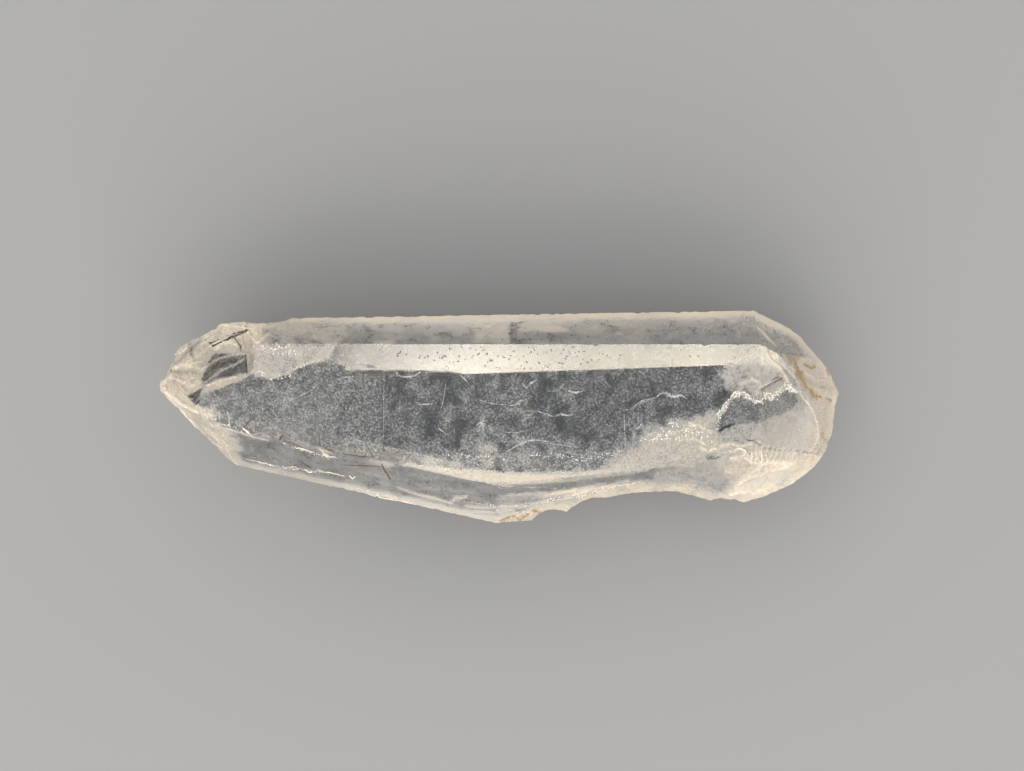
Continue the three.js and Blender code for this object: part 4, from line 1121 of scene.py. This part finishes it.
@dataclass
class CrystalSkin:
    """The crystal's outside: the solid's faces re-netted finely, weathered and masked.

    A rise or a lean is the height of a normal: -1 where it looks down and 1 where it looks up.
    """

    finish: QuartzFinish
    wide_net: float = 0.6
    even_net: float = 0.3
    fine_net: float = 0.21
    fine_left: float = -28.0
    fine_right: float = 25.5
    row_step: float = 0.866
    low_rise: float = -0.1
    rear_side: float = 0.5
    flat_turn: float = 0.35
    sharp_turn: float = 16.0
    wear_reach: float = 0.55
    wear_least: float = 0.02
    wear_most: float = 0.2
    wear_floor: float = 1.0
    relief_margin: float = 0.4
    break_relief: float = 0.18
    break_gain: float = 2.4
    face_relief: float = 0.03
    face_lift: float = 0.4
    face_rise: Span = (0.1, 0.95)
    crease_rise: float = 0.12
    slit_centre: Point2 = (-33.38, 9.68)
    slit_turn: float = 24.0
    slit_length: float = 4.8
    slit_width: float = 0.17
    slit_floor: float = 11.5
    slit_lean: float = 0.75
    rim_lean: float = 0.02

    facets: list[Facet] = field(default_factory=list)

    def build(self) -> bpy.types.Object:
        """Net, weather, mask and dress the skin.

        Returns:
            The skin, which stands for the solid crystal.
        """
        bm = self._net()
        self._read(bm)
        bm.verts.index_update()
        self._weather(bm)
        mesh = bpy.data.meshes.new("crystal_skin")
        bm.to_mesh(mesh)
        bm.free()
        self._mask(mesh)
        self._shade(mesh)
        mesh.materials.append(self.finish.material())
        skin = mesh_object("crystal_skin", mesh)
        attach(skin, BODY)
        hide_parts(SOLID_NODE)
        return skin

    def _at_ends(self, x: np.ndarray) -> np.ndarray:
        """Whether places lie in the crystal's finely netted ends."""
        return (x < self.fine_left) | (x > self.fine_right)

    def _pitch(self, where: np.ndarray) -> float:
        """Choose how closely to divide an edge.

        Args:
            where: The middle of the edge.

        Returns:
            The spacing of its points.
        """
        if where[2] < self.wear_floor:
            return self.wide_net
        return self.fine_net if self._at_ends(where[0]) else self.even_net

    def _net(self) -> bmesh.types.BMesh:
        """Merge the solid's faces and cover each with an even net of triangles.

        Returns:
            A closed mesh in metres whose creases are the solid's own.
        """
        source = bmesh.new()
        source.from_mesh(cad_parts[SOLID_NODE].data)
        bmesh.ops.remove_doubles(source, verts=source.verts, dist=SAME_SPOT)
        bmesh.ops.dissolve_limit(
            source,
            angle_limit=math.radians(self.flat_turn),
            verts=source.verts,
            edges=source.edges,
        )
        source.verts.index_update()
        spots = [np.array(v.co) / MM for v in source.verts]
        rims: dict[int, list[int]] = {}
        for edge in source.edges:
            a, b = (spots[v.index] for v in edge.verts)
            parts = max(1, math.ceil(np.linalg.norm(b - a) / self._pitch((a + b) / 2)))
            inner = range(len(spots), len(spots) + parts - 1)
            spots.extend(a + (b - a) * step / parts for step in range(1, parts))
            rims[edge.index] = [edge.verts[0].index, *inner, edge.verts[1].index]
        triangles: list[Triangle] = []
        for face in source.faces:
            ring: list[int] = []
            for loop in face.loops:
                run = rims[loop.edge.index]
                ring.extend(run[:-1] if run[0] == loop.vert.index else run[:0:-1])
            triangles.extend(self._fill(ring, np.array(face.normal), spots))
        source.free()
        return self._mesh_of(spots, triangles)

    def _fill(self, ring: list[int], normal: np.ndarray, spots: list[np.ndarray]) -> list[Triangle]:
        """Cover one flat face with triangles.

        Args:
            ring: Indices of the face's rim, in order.
            normal: The face's normal.
            spots: All points; the net's inner points are added to it.

        Returns:
            Triangles as indices into spots.
        """
        if len(ring) == 3:
            return [tuple(ring)]
        side = np.cross(normal, SKEW)
        side /= np.linalg.norm(side)
        up = np.cross(normal, side)
        rim = np.array([spots[i] for i in ring])
        base = rim[0]
        flat = np.stack([(rim - base) @ side, (rim - base) @ up], axis=1)
        inner = self._lattice(flat, base, side, up, normal)
        flats = [Vector(p) for p in flat] + [Vector(p) for p in inner]
        places, _, faces, origins, *_ = delaunay_2d_cdt(
            flats, [], [list(range(len(ring)))], 1, SAME_PLACE
        )
        names: list[int] = []
        for place, origin in zip(places, origins):
            if origin and origin[0] < len(ring):
                names.append(ring[origin[0]])
            else:
                names.append(len(spots))
                spots.append(base + side * place.x + up * place.y)
        return [tuple(names[i] for i in tri) for tri in faces if len(tri) == 3]

    def _lattice(
        self,
        flat: np.ndarray,
        base: np.ndarray,
        side: np.ndarray,
        up: np.ndarray,
        normal: np.ndarray,
    ) -> np.ndarray:
        """Lay an even net inside a flat outline.

        Args:
            flat: The outline in the face's own plane.
            base: Where the plane's zero lies.
            side: The plane's first direction.
            up: The plane's second direction.
            normal: The face's normal.

        Returns:
            The points that lie far enough inside, in the plane.
        """
        low, high = flat.min(0), flat.max(0)
        kept = [np.zeros((0, 2))]
        if min(high - low) < self.fine_net:
            return kept[0]
        lower = normal[2] < self.low_rise and normal[1] < self.rear_side
        for pitch in (self.wide_net,) if lower else (self.even_net, self.fine_net):
            levels = np.arange(low[1], high[1], pitch * self.row_step)
            columns = np.arange(low[0], high[0], pitch)
            if not len(levels) or not len(columns):
                continue
            x, y = np.meshgrid(columns, levels)
            x = x + (np.arange(len(levels)) % 2)[:, None] * pitch / 2
            grid = np.stack([x.ravel(), y.ravel()], axis=1)
            world = base + grid[:, :1] * side + grid[:, 1:] * up
            fine = self._at_ends(world[:, 0]) & (normal[2] > self.low_rise)
            grid = grid[fine if pitch == self.fine_net else ~fine | lower]
            if len(grid):
                kept.append(grid[depth_inside(grid, tuple(map(tuple, flat))) > pitch * 0.5])
        return np.concatenate(kept)

    @staticmethod
    def _mesh_of(spots: list[np.ndarray], triangles: list[Triangle]) -> bmesh.types.BMesh:
        """Turn points and triangles into a closed mesh.

        Args:
            spots: The points.
            triangles: Indices of each triangle's points; a folded or doubled one is left out.

        Returns:
            The mesh, in metres.
        """
        bm = bmesh.new()
        verts = [bm.verts.new(Vector(p) * MM) for p in spots]
        for tri in triangles:
            if len(set(tri)) == 3:
                try:
                    bm.faces.new([verts[i] for i in tri])
                except ValueError:
                    continue
        loose = [v for v in bm.verts if not v.link_faces]
        bmesh.ops.delete(bm, geom=loose, context="VERTS")
        bm.normal_update()
        return bm

    def _read(self, bm: bmesh.types.BMesh) -> None:
        """Name the facet of every triangle.

        Args:
            bm: The net.
        """
        planes = []
        for facet, entries in FACET_PLANES.items():
            for azimuth, elevation, reach in entries:
                a, e = math.radians(azimuth), math.radians(elevation)
                level = math.cos(e)
                normal = Vector((math.cos(a) * level, math.sin(a) * level, math.sin(e)))
                planes.append((facet, normal, reach))
        self.facets = []
        for face in bm.faces:
            centre = face.calc_center_median() / MM
            matches = (
                facet for facet, normal, reach in planes
                if face.normal.dot(normal) > FACET_TURN
                and abs(centre.dot(normal) - reach) < FACET_SLIP
            )
            self.facets.append(next(matches, Facet.BROKEN))
        counts = {f.name: self.facets.count(f) for f in Facet}
        open_edges = sum(1 for e in bm.edges if not e.is_manifold)
        log.info("net: %d triangles, %d open edges, %s", len(bm.faces), open_edges, counts)

    def _weather(self, bm: bmesh.types.BMesh) -> None:
        """Wear the creases back, roughen the fracture surfaces and raise the drawn crests.

        Args:
            bm: The net, whose points move along their normals.
        """
        sharp, floor = math.radians(self.sharp_turn), self.wear_floor * MM
        creases = [
            e for e in bm.edges if e.calc_face_angle(0.0) > sharp and e.verts[0].co.z > floor
        ]
        tree = KDTree(len(creases) * 2)
        for index, edge in enumerate(creases):
            end, other = (v.co for v in edge.verts)
            tree.insert(end / MM, 2 * index)
            tree.insert(other.lerp(end, 0.5) / MM, 2 * index + 1)
        tree.balance()
        spots = np.array([v.co for v in bm.verts]) / MM
        nicks, lumps = NICKS.at(spots), LUMPS.at(spots)
        rise = np.array([v.normal.z for v in bm.verts])
        crests = sum(crease.height * near_path(spots, crease) for crease in CREASES)
        crests = crests * (rise > self.crease_rise)
        broken = {
            vert.index for face, facet in zip(bm.faces, self.facets)
            if facet is Facet.BROKEN for vert in face.verts
        }
        for vert in bm.verts:
            distance = tree.find(vert.co / MM)[2]
            near = max(0.0, 1.0 - distance / self.wear_reach)
            nick, lump = max(0.0, nicks[vert.index]), lumps[vert.index]
            depth = near * near * (self.wear_least + self.wear_most * nick)
            inner = min(1.0, distance / self.relief_margin)
            if vert.index in broken:
                depth += self.break_relief * min(1.0, self.break_gain * abs(lump)) * inner
            elif self.face_rise[0] < vert.normal.z < self.face_rise[1]:
                depth += self.face_relief * max(0.0, lump + self.face_lift) * inner
            vert.co -= vert.normal * (depth - crests[vert.index]) * MM
        bm.normal_update()

    def _mask(self, mesh: bpy.types.Mesh) -> None:
        """Write the frost, milk, stain and near-black crack-wall masks as point attributes.

        Args:
            mesh: The weathered skin.
        """
        count = len(mesh.vertices)
        points = np.zeros(count * 3)
        mesh.vertices.foreach_get("co", points)
        points = points.reshape(-1, 3) / MM
        upward = np.array([v.normal.z for v in mesh.vertices])
        corners = np.zeros(len(mesh.loops), int)
        mesh.loops.foreach_get("vertex_index", corners)
        table = {f: (*astuple(w), float(f is Facet.TOP)) for f, w in WEATHERING.items()}
        values = np.repeat([table[f] for f in self.facets], 3, axis=0)
        total = np.zeros((count, values.shape[1]))
        shared = np.zeros(count)
        np.add.at(total, corners, values)
        np.add.at(shared, corners, 1.0)
        frost, milk, margin, reach, top = (total / shared[:, None]).T
        masks = SkinMasks(points, upward, top, frost, milk, self._slit(points, upward))
        masks.age(self._rim_distance(mesh, points), margin, reach)
        masks.veil_top()
        for patch in PATCHES:
            masks.lay(patch)
        masks.mottle()
        for crease in CREASES:
            masks.line(crease)
        for streak in STREAKS:
            masks.draw(streak)
        masks.write(mesh)

    def _slit(self, points: np.ndarray, rise: np.ndarray) -> np.ndarray:
        """Find the walls of the open crack in the broken root, which are painted near-black.

        Args:
            points: Places on the skin.
            rise: Height of the normal at each of them.

        Returns:
            1 on a wall and 0 elsewhere.
        """
        turn, half = math.radians(self.slit_turn), self.slit_length / 2
        x, y = self.slit_centre
        ends = tuple(
            (x + way * math.cos(turn), y + way * math.sin(turn)) for way in (-half, half)
        )
        near = distance_to_path(points, ends) < self.slit_width
        wall = (np.abs(rise) < self.slit_lean) & (points[:, 2] > self.slit_floor)
        return np.where(near & wall, 1.0, 0.0)

    def _rim_distance(self, mesh: bpy.types.Mesh, points: np.ndarray) -> np.ndarray:
        """Measure how far points lie from the crystal's widest line, where faces turn downwards.

        Args:
            mesh: The skin.
            points: Places on it.

        Returns:
            One distance a point.
        """
        low = np.full(len(points), 1.0)
        high = np.full(len(points), -1.0)
        for polygon in mesh.polygons:
            corners = list(polygon.vertices)
            low[corners] = np.minimum(low[corners], polygon.normal.z)
            high[corners] = np.maximum(high[corners], polygon.normal.z)
        rim = np.flatnonzero((low < -self.rim_lean) & (high > self.rim_lean))
        tree = KDTree(len(rim))
        for place, vertex in enumerate(rim):
            tree.insert(points[vertex], place)
        tree.balance()
        return np.array([tree.find(p)[2] for p in points])

    def _shade(self, mesh: bpy.types.Mesh) -> None:
        """Smooth the faces but keep the creases sharp."""
        mesh.polygons.foreach_set("use_smooth", [True] * len(mesh.polygons))
        mesh.set_sharp_from_angle(angle=math.radians(self.sharp_turn))


@dataclass(frozen=True)
class FlawFinish:
    """The face of a flaw: a silvery gap, a bright flake, a pale crest, or a rusty or dark filling."""

    name: str
    tint: Colour
    deep_tint: Colour
    roughness: float
    metallic: float
    roughness_spread: Span = (0.12, -0.08)
    mottle_pitch: float = 0.5
    mottle_rough: float = 0.6
    mottle_span: Span = (0.35, 0.65)
    bump_pitch: float = 0.2
    bump_strength: float = 0.4
    bump_depth: float = 0.03

    def material(self) -> bpy.types.Material:
        """Build the flaw's material.

        Returns:
            The material.
        """
        bench = MaterialBench(self.name)
        here = bench.millimetres()
        lumps = bench.noise(here, self.mottle_pitch, self.mottle_rough)
        mottle = bench.ramp(lumps, self.mottle_span)
        ends = tuple(self.roughness + spread for spread in self.roughness_spread)
        bumps = bench.noise(here, self.bump_pitch)
        bench.surface(
            Base_Color=bench.blend(mottle, self.deep_tint, self.tint),
            Roughness=bench.ramp(mottle, (0.0, 1.0), ends),
            Metallic=self.metallic,
            Normal=bench.bump(bumps, self.bump_strength, self.bump_depth),
        )
        return bench.material


VEILED = FlawFinish("veil", (0.86, 0.91, 0.98), (0.4, 0.45, 0.52), 0.5, 1.0)
GLINT = FlawFinish("bright_glint", (0.97, 0.95, 0.91), (0.86, 0.82, 0.74), 0.35, 0.0)
PALE = FlawFinish("pale_crest", (0.84, 0.78, 0.68), (0.62, 0.56, 0.47), 0.5, 0.0)
SILVERY = FlawFinish("silvery_gap", (0.86, 0.86, 0.85), (0.42, 0.43, 0.44), 0.4, 1.0)
RUSTY = FlawFinish("rusty_filling", (0.16, 0.085, 0.045), (0.05, 0.03, 0.02), 0.6, 0.0)
DARK = FlawFinish("dark_filling", (0.03, 0.027, 0.024), (0.008, 0.007, 0.006), 0.5, 0.0)


class Ground:
    """The solid crystal seen from above, for placing flaws under its skin."""

    TRIES = 12
    NUDGE = 0.02  # share of Y that a place outside the outline moves inwards at each try
    ABOVE = 40.0

    def __init__(self) -> None:
        """Index the solid's faces."""
        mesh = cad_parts[SOLID_NODE].data
        points = [v.co / MM for v in mesh.vertices]
        self.tree = BVHTree.FromPolygons(points, [tuple(p.vertices) for p in mesh.polygons])

    def under(self, at: Point2, depth: float) -> tuple[Vector, Vector]:
        """Find a place under the skin.

        Args:
            at: Place in plan.
            depth: Distance below the skin, square to it.

        Returns:
            The place and the skin's normal above it.
        """
        for step in range(self.TRIES):
            start = Vector((at[0], at[1] * (1.0 - self.NUDGE * step), self.ABOVE))
            spot, normal, _, _ = self.tree.ray_cast(start, Vector((0.0, 0.0, -1.0)))
            if spot is not None:
                return spot - normal * depth, normal
        raise ValueError(f"no crystal below {at}")


@dataclass
class InnerFilms:
    """Thin closed flaws inside the crystal, of one finish."""

    name: str
    films: tuple[Film, ...]
    finish: FlawFinish
    ground: Ground
    step: float = 0.14
    ragged: float = 1.1
    taper_least: float = 0.12
    wobble_steps: Point3 = (0.83, 3.7, 1.3)
    other_edge: float = 9.1

    def build(self) -> bpy.types.Object:
        """Make every film and join them in one piece.

        Returns:
            The piece.
        """
        bm = bmesh.new()
        for number, film in enumerate(self.films):
            self._strip(bm, film, number)
        bmesh.ops.recalc_face_normals(bm, faces=bm.faces)
        mesh = bpy.data.meshes.new(self.name)
        bm.to_mesh(mesh)
        bm.free()
        mesh.materials.append(self.finish.material())
        return inner_piece(self.name, mesh)

    def _strip(self, bm: bmesh.types.BMesh, film: Film, number: int) -> None:
        """Add one film as a flat tube that tapers to both ends.

        Args:
            bm: Mesh that takes the film.
            film: The film.
            number: Its place in the list, which picks how its edges wander.
        """
        run = smooth_path(film.path, self.step)
        rings = []
        for index, at in enumerate(run):
            centre, normal = self.ground.under(at, film.depth)
            along = heading(run, index)
            along = (along - normal * along.dot(normal)).normalized()
            turn = Quaternion(along, math.radians(film.lean))
            across = turn @ normal.cross(along)
            half = turn @ normal * film.thickness / 2
            taper = max(self.taper_least, swell(run, index) ** 0.5)
            ahead, aside, edge = self.wobble_steps
            left, right = (
                film.width / 2 * taper * (1.0 + self.ragged * noise.noise(
                    Vector((index * ahead, number * aside, level))
                )) for level in (edge, self.other_edge)
            )
            corners = (centre + across * left + half, centre - across * right + half,
                       centre - across * right - half, centre + across * left - half)
            rings.append([bm.verts.new(corner * MM) for corner in corners])
        for a, b in zip(rings, rings[1:]):
            for i in range(4):
                bm.faces.new((a[i], a[(i + 1) % 4], b[(i + 1) % 4], b[i]))
        bm.faces.new(rings[0][::-1])
        bm.faces.new(rings[-1])


@dataclass(frozen=True)
class Flakes:
    """How flakes are scattered: how many a square mm, how large, how flat, and in which pattern."""

    density: float
    size: float
    flatness: float
    seed: int


HEALED = Flakes(density=60.0, size=0.085, flatness=0.3, seed=7)
DUST = Flakes(density=1.4, size=0.05, flatness=0.4, seed=21)
GLINTS = Flakes(density=9.0, size=0.1, flatness=0.5, seed=12)
STAIN_SPECKS = Flakes(density=1.8, size=0.13, flatness=0.5, seed=33)


@dataclass
class FlakeVeils:
    """Healed cracks: flat flakes scattered along narrow veils by Geometry Nodes."""

    name: str
    veils: tuple[Film, ...]
    finish: FlawFinish
    ground: Ground
    flakes: Flakes
    sheet_step: float = 0.3
    sheet_least: float = 0.25
    stretch: tuple[Point3, Point3] = ((0.45, 0.3, 0.6), (1.5, 0.8, 1.2))
    tilt: float = 0.45  # radians

    def build(self) -> bpy.types.Object:
        """Lay the veils, scatter the flakes and keep them as a plain mesh.

        Returns:
            The piece.
        """
        piece = mesh_object(self.name, self._sheets())
        inputs = {
            "Flakes per square mm": self.flakes.density,
            "Flake size": self.flakes.size,
            "Flatness": self.flakes.flatness,
            "Seed": self.flakes.seed,
        }
        tree, sockets = self._tree(self.finish.material(), inputs)
        modifier = piece.modifiers.new("flakes", "NODES")
        modifier.node_group = tree
        for name, value in inputs.items():
            modifier[sockets[name]] = value
        graph = bpy.context.evaluated_depsgraph_get()
        mesh = bpy.data.meshes.new_from_object(piece.evaluated_get(graph))
        bpy.data.objects.remove(piece)
        bpy.data.node_groups.remove(tree)
        return inner_piece(self.name, mesh)

    def _sheets(self) -> bpy.types.Mesh:
        """Make the open strips that the flakes lie on.

        Returns:
            Their mesh.
        """
        verts: list[Vector] = []
        faces: list[tuple[int, ...]] = []
        for veil in self.veils:
            run = smooth_path(veil.path, self.sheet_step)
            start = len(verts)
            for index, at in enumerate(run):
                centre, normal = self.ground.under(at, veil.depth)
                along = heading(run, index).normalized()
                turn = Quaternion(along, math.radians(veil.lean))
                across = (turn @ normal.cross(along)).normalized()
                half = veil.width / 2 * max(self.sheet_least, swell(run, index))
                verts += [(centre + across * half) * MM, (centre - across * half) * MM]
            for a in range(start, len(verts) - 2, 2):
                faces.append((a, a + 1, a + 3, a + 2))
        mesh = bpy.data.meshes.new(self.name + "_sheets")
        mesh.from_pydata(verts, [], faces)
        return mesh

    def _tree(
        self, material: bpy.types.Material, inputs: dict[str, float]
    ) -> tuple[bpy.types.NodeTree, dict[str, str]]:
        """Build the scatter tree.

        Args:
            material: Finish of the flakes.
            inputs: The tree's named inputs; a whole number makes a whole-number input.

        Returns:
            The tree, and the identifier of each named input.
        """
        tree = bpy.data.node_groups.new(self.name + "_scatter", "GeometryNodeTree")
        face = tree.interface
        face.new_socket("Veil", in_out="INPUT", socket_type="NodeSocketGeometry")
        sockets = {}
        for name, value in inputs.items():
            kind = "NodeSocketInt" if isinstance(value, int) else "NodeSocketFloat"
            sockets[name] = face.new_socket(name, in_out="INPUT", socket_type=kind).identifier
        face.new_socket("Flakes", in_out="OUTPUT", socket_type="NodeSocketGeometry")

        bench = NodeBench(tree)
        placed = self._placed(bench, bench.node("NodeGroupInput").outputs)
        real = bench.node("GeometryNodeRealizeInstances", {"Geometry": placed})
        dress = bench.node(
            "GeometryNodeSetMaterial", {"Geometry": real.outputs["Geometry"], "Material": material}
        )
        bench.node("NodeGroupOutput", {"Flakes": dress.outputs["Geometry"]})
        return tree, sockets

    def _placed(self, bench: NodeBench, given: bpy.types.NodeOutputs) -> Socket:
        """Scatter flakes over the veils, each with its own shape and turn.

        Args:
            bench: Bench of the scatter tree.
            given: The tree's inputs.

        Returns:
            The flakes, as instances.
        """
        seed, turn = given["Seed"], self.tilt
        density = bench.times(given["Flakes per square mm"], 1.0 / (MM * MM))
        scatter = bench.node(
            "GeometryNodeDistributePointsOnFaces",
            {"Mesh": given["Veil"], "Density": density, "Seed": seed},
            distribute_method="RANDOM",
        )
        radius = bench.times(given["Flake size"], MM)
        flake = bench.node("GeometryNodeMeshIcoSphere", {"Radius": radius})
        flat = bench.node("ShaderNodeCombineXYZ", {"X": 1.0, "Y": 1.0, "Z": given["Flatness"]})
        shape = bench.node(
            "ShaderNodeVectorMath",
            {0: bench.varied(*self.stretch, seed), 1: flat.outputs[0]},
            operation="MULTIPLY",
        )
        place = bench.node(
            "GeometryNodeInstanceOnPoints",
            {
                "Points": scatter.outputs["Points"],
                "Instance": flake.outputs["Mesh"],
                "Scale": shape.outputs[0],
                "Rotation": bench.varied((-turn, -turn, 0.0), (turn, turn, 2 * math.pi), seed),
            },
        )
        return place.outputs["Instances"]


@dataclass
class Studio:
    """The plain floor, the soft light and the camera; the room's and lamp's sizes are in metres."""

    floor_size: float = 1.6
    floor_gap: float = 0.05
    floor_tint: Colour = (0.286, 0.291, 0.3)
    floor_roughness: float = 0.9
    world_tint: Colour = (1.0, 0.938, 0.852)
    world_strength: float = 1.6
    overhead_tint: Colour = (0.78, 0.88, 1.0)
    overhead_strength: float = 0.72
    overhead_from: float = 0.72
    overhead_full: float = 0.94
    key_place: Point3 = (-0.06, -0.46, 0.3)
    key_size: tuple[float, float] = (0.8, 0.4)
    key_power: float = 2.1
    key_tint: Colour = (1.0, 0.965, 0.915)
    camera_place: Point3 = (1.30, 3.89, 320.0)
    lens: float = 87.75
    sensor: float = 36.0
    bounces: int = 16

    def build(self) -> None:
        """Set the stage."""
        self._floor()
        self._room()
        self._lamp()
        self._bounces()
        self._camera()

    def _floor(self) -> None:
        """Lay the floor just under the crystal."""
        half, down = self.floor_size / 2, -self.floor_gap * MM
        mesh = bpy.data.meshes.new("floor")
        ring = [(-half, -half, down), (half, -half, down), (half, half, down), (-half, half, down)]
        mesh.from_pydata(ring, [], [(0, 1, 2, 3)])
        bench = MaterialBench("floor")
        bench.surface(Base_Color=(*self.floor_tint, 1.0), Roughness=self.floor_roughness)
        mesh.materials.append(bench.material)
        mesh_object("floor", mesh)

    def _room(self) -> None:
        """Fill the room with soft light, warm and strong low down, cool and weak overhead."""
        world = bpy.data.worlds.new("studio")
        world.use_nodes = True
        bench = NodeBench(world.node_tree)
        background = world.node_tree.nodes["Background"]
        where = bench.node("ShaderNodeTexCoord").outputs["Generated"]
        height = bench.node("ShaderNodeSeparateXYZ", {0: where}).outputs[2]
        for socket, low, high in (
            ("Color", self.world_tint, self.overhead_tint),
            ("Strength", (self.world_strength,) * 3, (self.overhead_strength,) * 3),
        ):
            ramp = bench.node(
                "ShaderNodeMapRange",
                {
                    RANGE_VALUE: height,
                    RANGE_FROM: (self.overhead_from,) * 3,
                    RANGE_TO: (self.overhead_full,) * 3,
                    RANGE_LOW: low,
                    RANGE_HIGH: high,
                },
                data_type="FLOAT_VECTOR",
                interpolation_type="SMOOTHSTEP",
            )
            bench.tree.links.new(ramp.outputs[RANGE_RESULT], background.inputs[socket])
        bpy.context.scene.world = world

    def _lamp(self) -> None:
        """Hang one large soft lamp that faces the crystal."""
        lamp = bpy.data.lights.new("key", "AREA")
        lamp.shape = "RECTANGLE"
        lamp.size, lamp.size_y = self.key_size
        lamp.energy = self.key_power
        lamp.color = self.key_tint
        holder = bpy.data.objects.new("key", lamp)
        holder.location = self.key_place
        holder.rotation_euler = (-Vector(self.key_place)).to_track_quat("-Z", "Y").to_euler()
        bpy.context.scene.collection.objects.link(holder)

    def _bounces(self) -> None:
        """Let light cross the crystal often enough, without caustics."""
        scene = bpy.context.scene
        scene.view_settings.view_transform = "Standard"
        cycles = scene.cycles
        cycles.max_bounces = self.bounces
        cycles.transmission_bounces = self.bounces
        cycles.glossy_bounces = self.bounces
        cycles.caustics_refractive = False
        cycles.caustics_reflective = False

    def _camera(self) -> None:
        """Look straight down on the crystal."""
        lens = bpy.data.cameras.new("camera")
        lens.lens = self.lens
        lens.sensor_width = self.sensor
        lens.clip_start = MM
        camera = bpy.data.objects.new("camera", lens)
        camera.location = Vector(self.camera_place) * MM
        bpy.context.scene.collection.objects.link(camera)
        bpy.context.scene.camera = camera


def main() -> None:
    """Build the specimen and its stage, and report each piece."""
    logging.basicConfig(level=logging.INFO, format="%(name)s: %(message)s")
    skin = CrystalSkin(QuartzFinish()).build()
    log.info("%s: %d triangles", skin.name, len(skin.data.polygons))
    ground = Ground()
    flaws = (
        FlakeVeils("healed_veils", VEILS, SILVERY, ground, HEALED),
        FlakeVeils("dust_specks", SPECK_FIELDS, SILVERY, ground, DUST),
        FlakeVeils("pale_glints", GLINT_FIELDS, GLINT, ground, GLINTS),
        InnerFilms("veil_sheets", VEIL_SHEETS, VEILED, ground),
        InnerFilms("silvery_films", SILVER_FILMS, SILVERY, ground),
        InnerFilms("rusty_slivers", RUSTY_FILMS, RUSTY, ground),
        InnerFilms("dark_cracks", DARK_FILMS, DARK, ground),
        InnerFilms("pale_crests", PALE_FILMS, PALE, ground),
        FlakeVeils("rust_specks", RUST_FIELDS, RUSTY, ground, STAIN_SPECKS),
    )
    for flaw in flaws:
        piece = flaw.build()
        log.info("%s: %d faces", piece.name, len(piece.data.polygons))
    Studio().build()


if __name__ == "__main__":
    main()
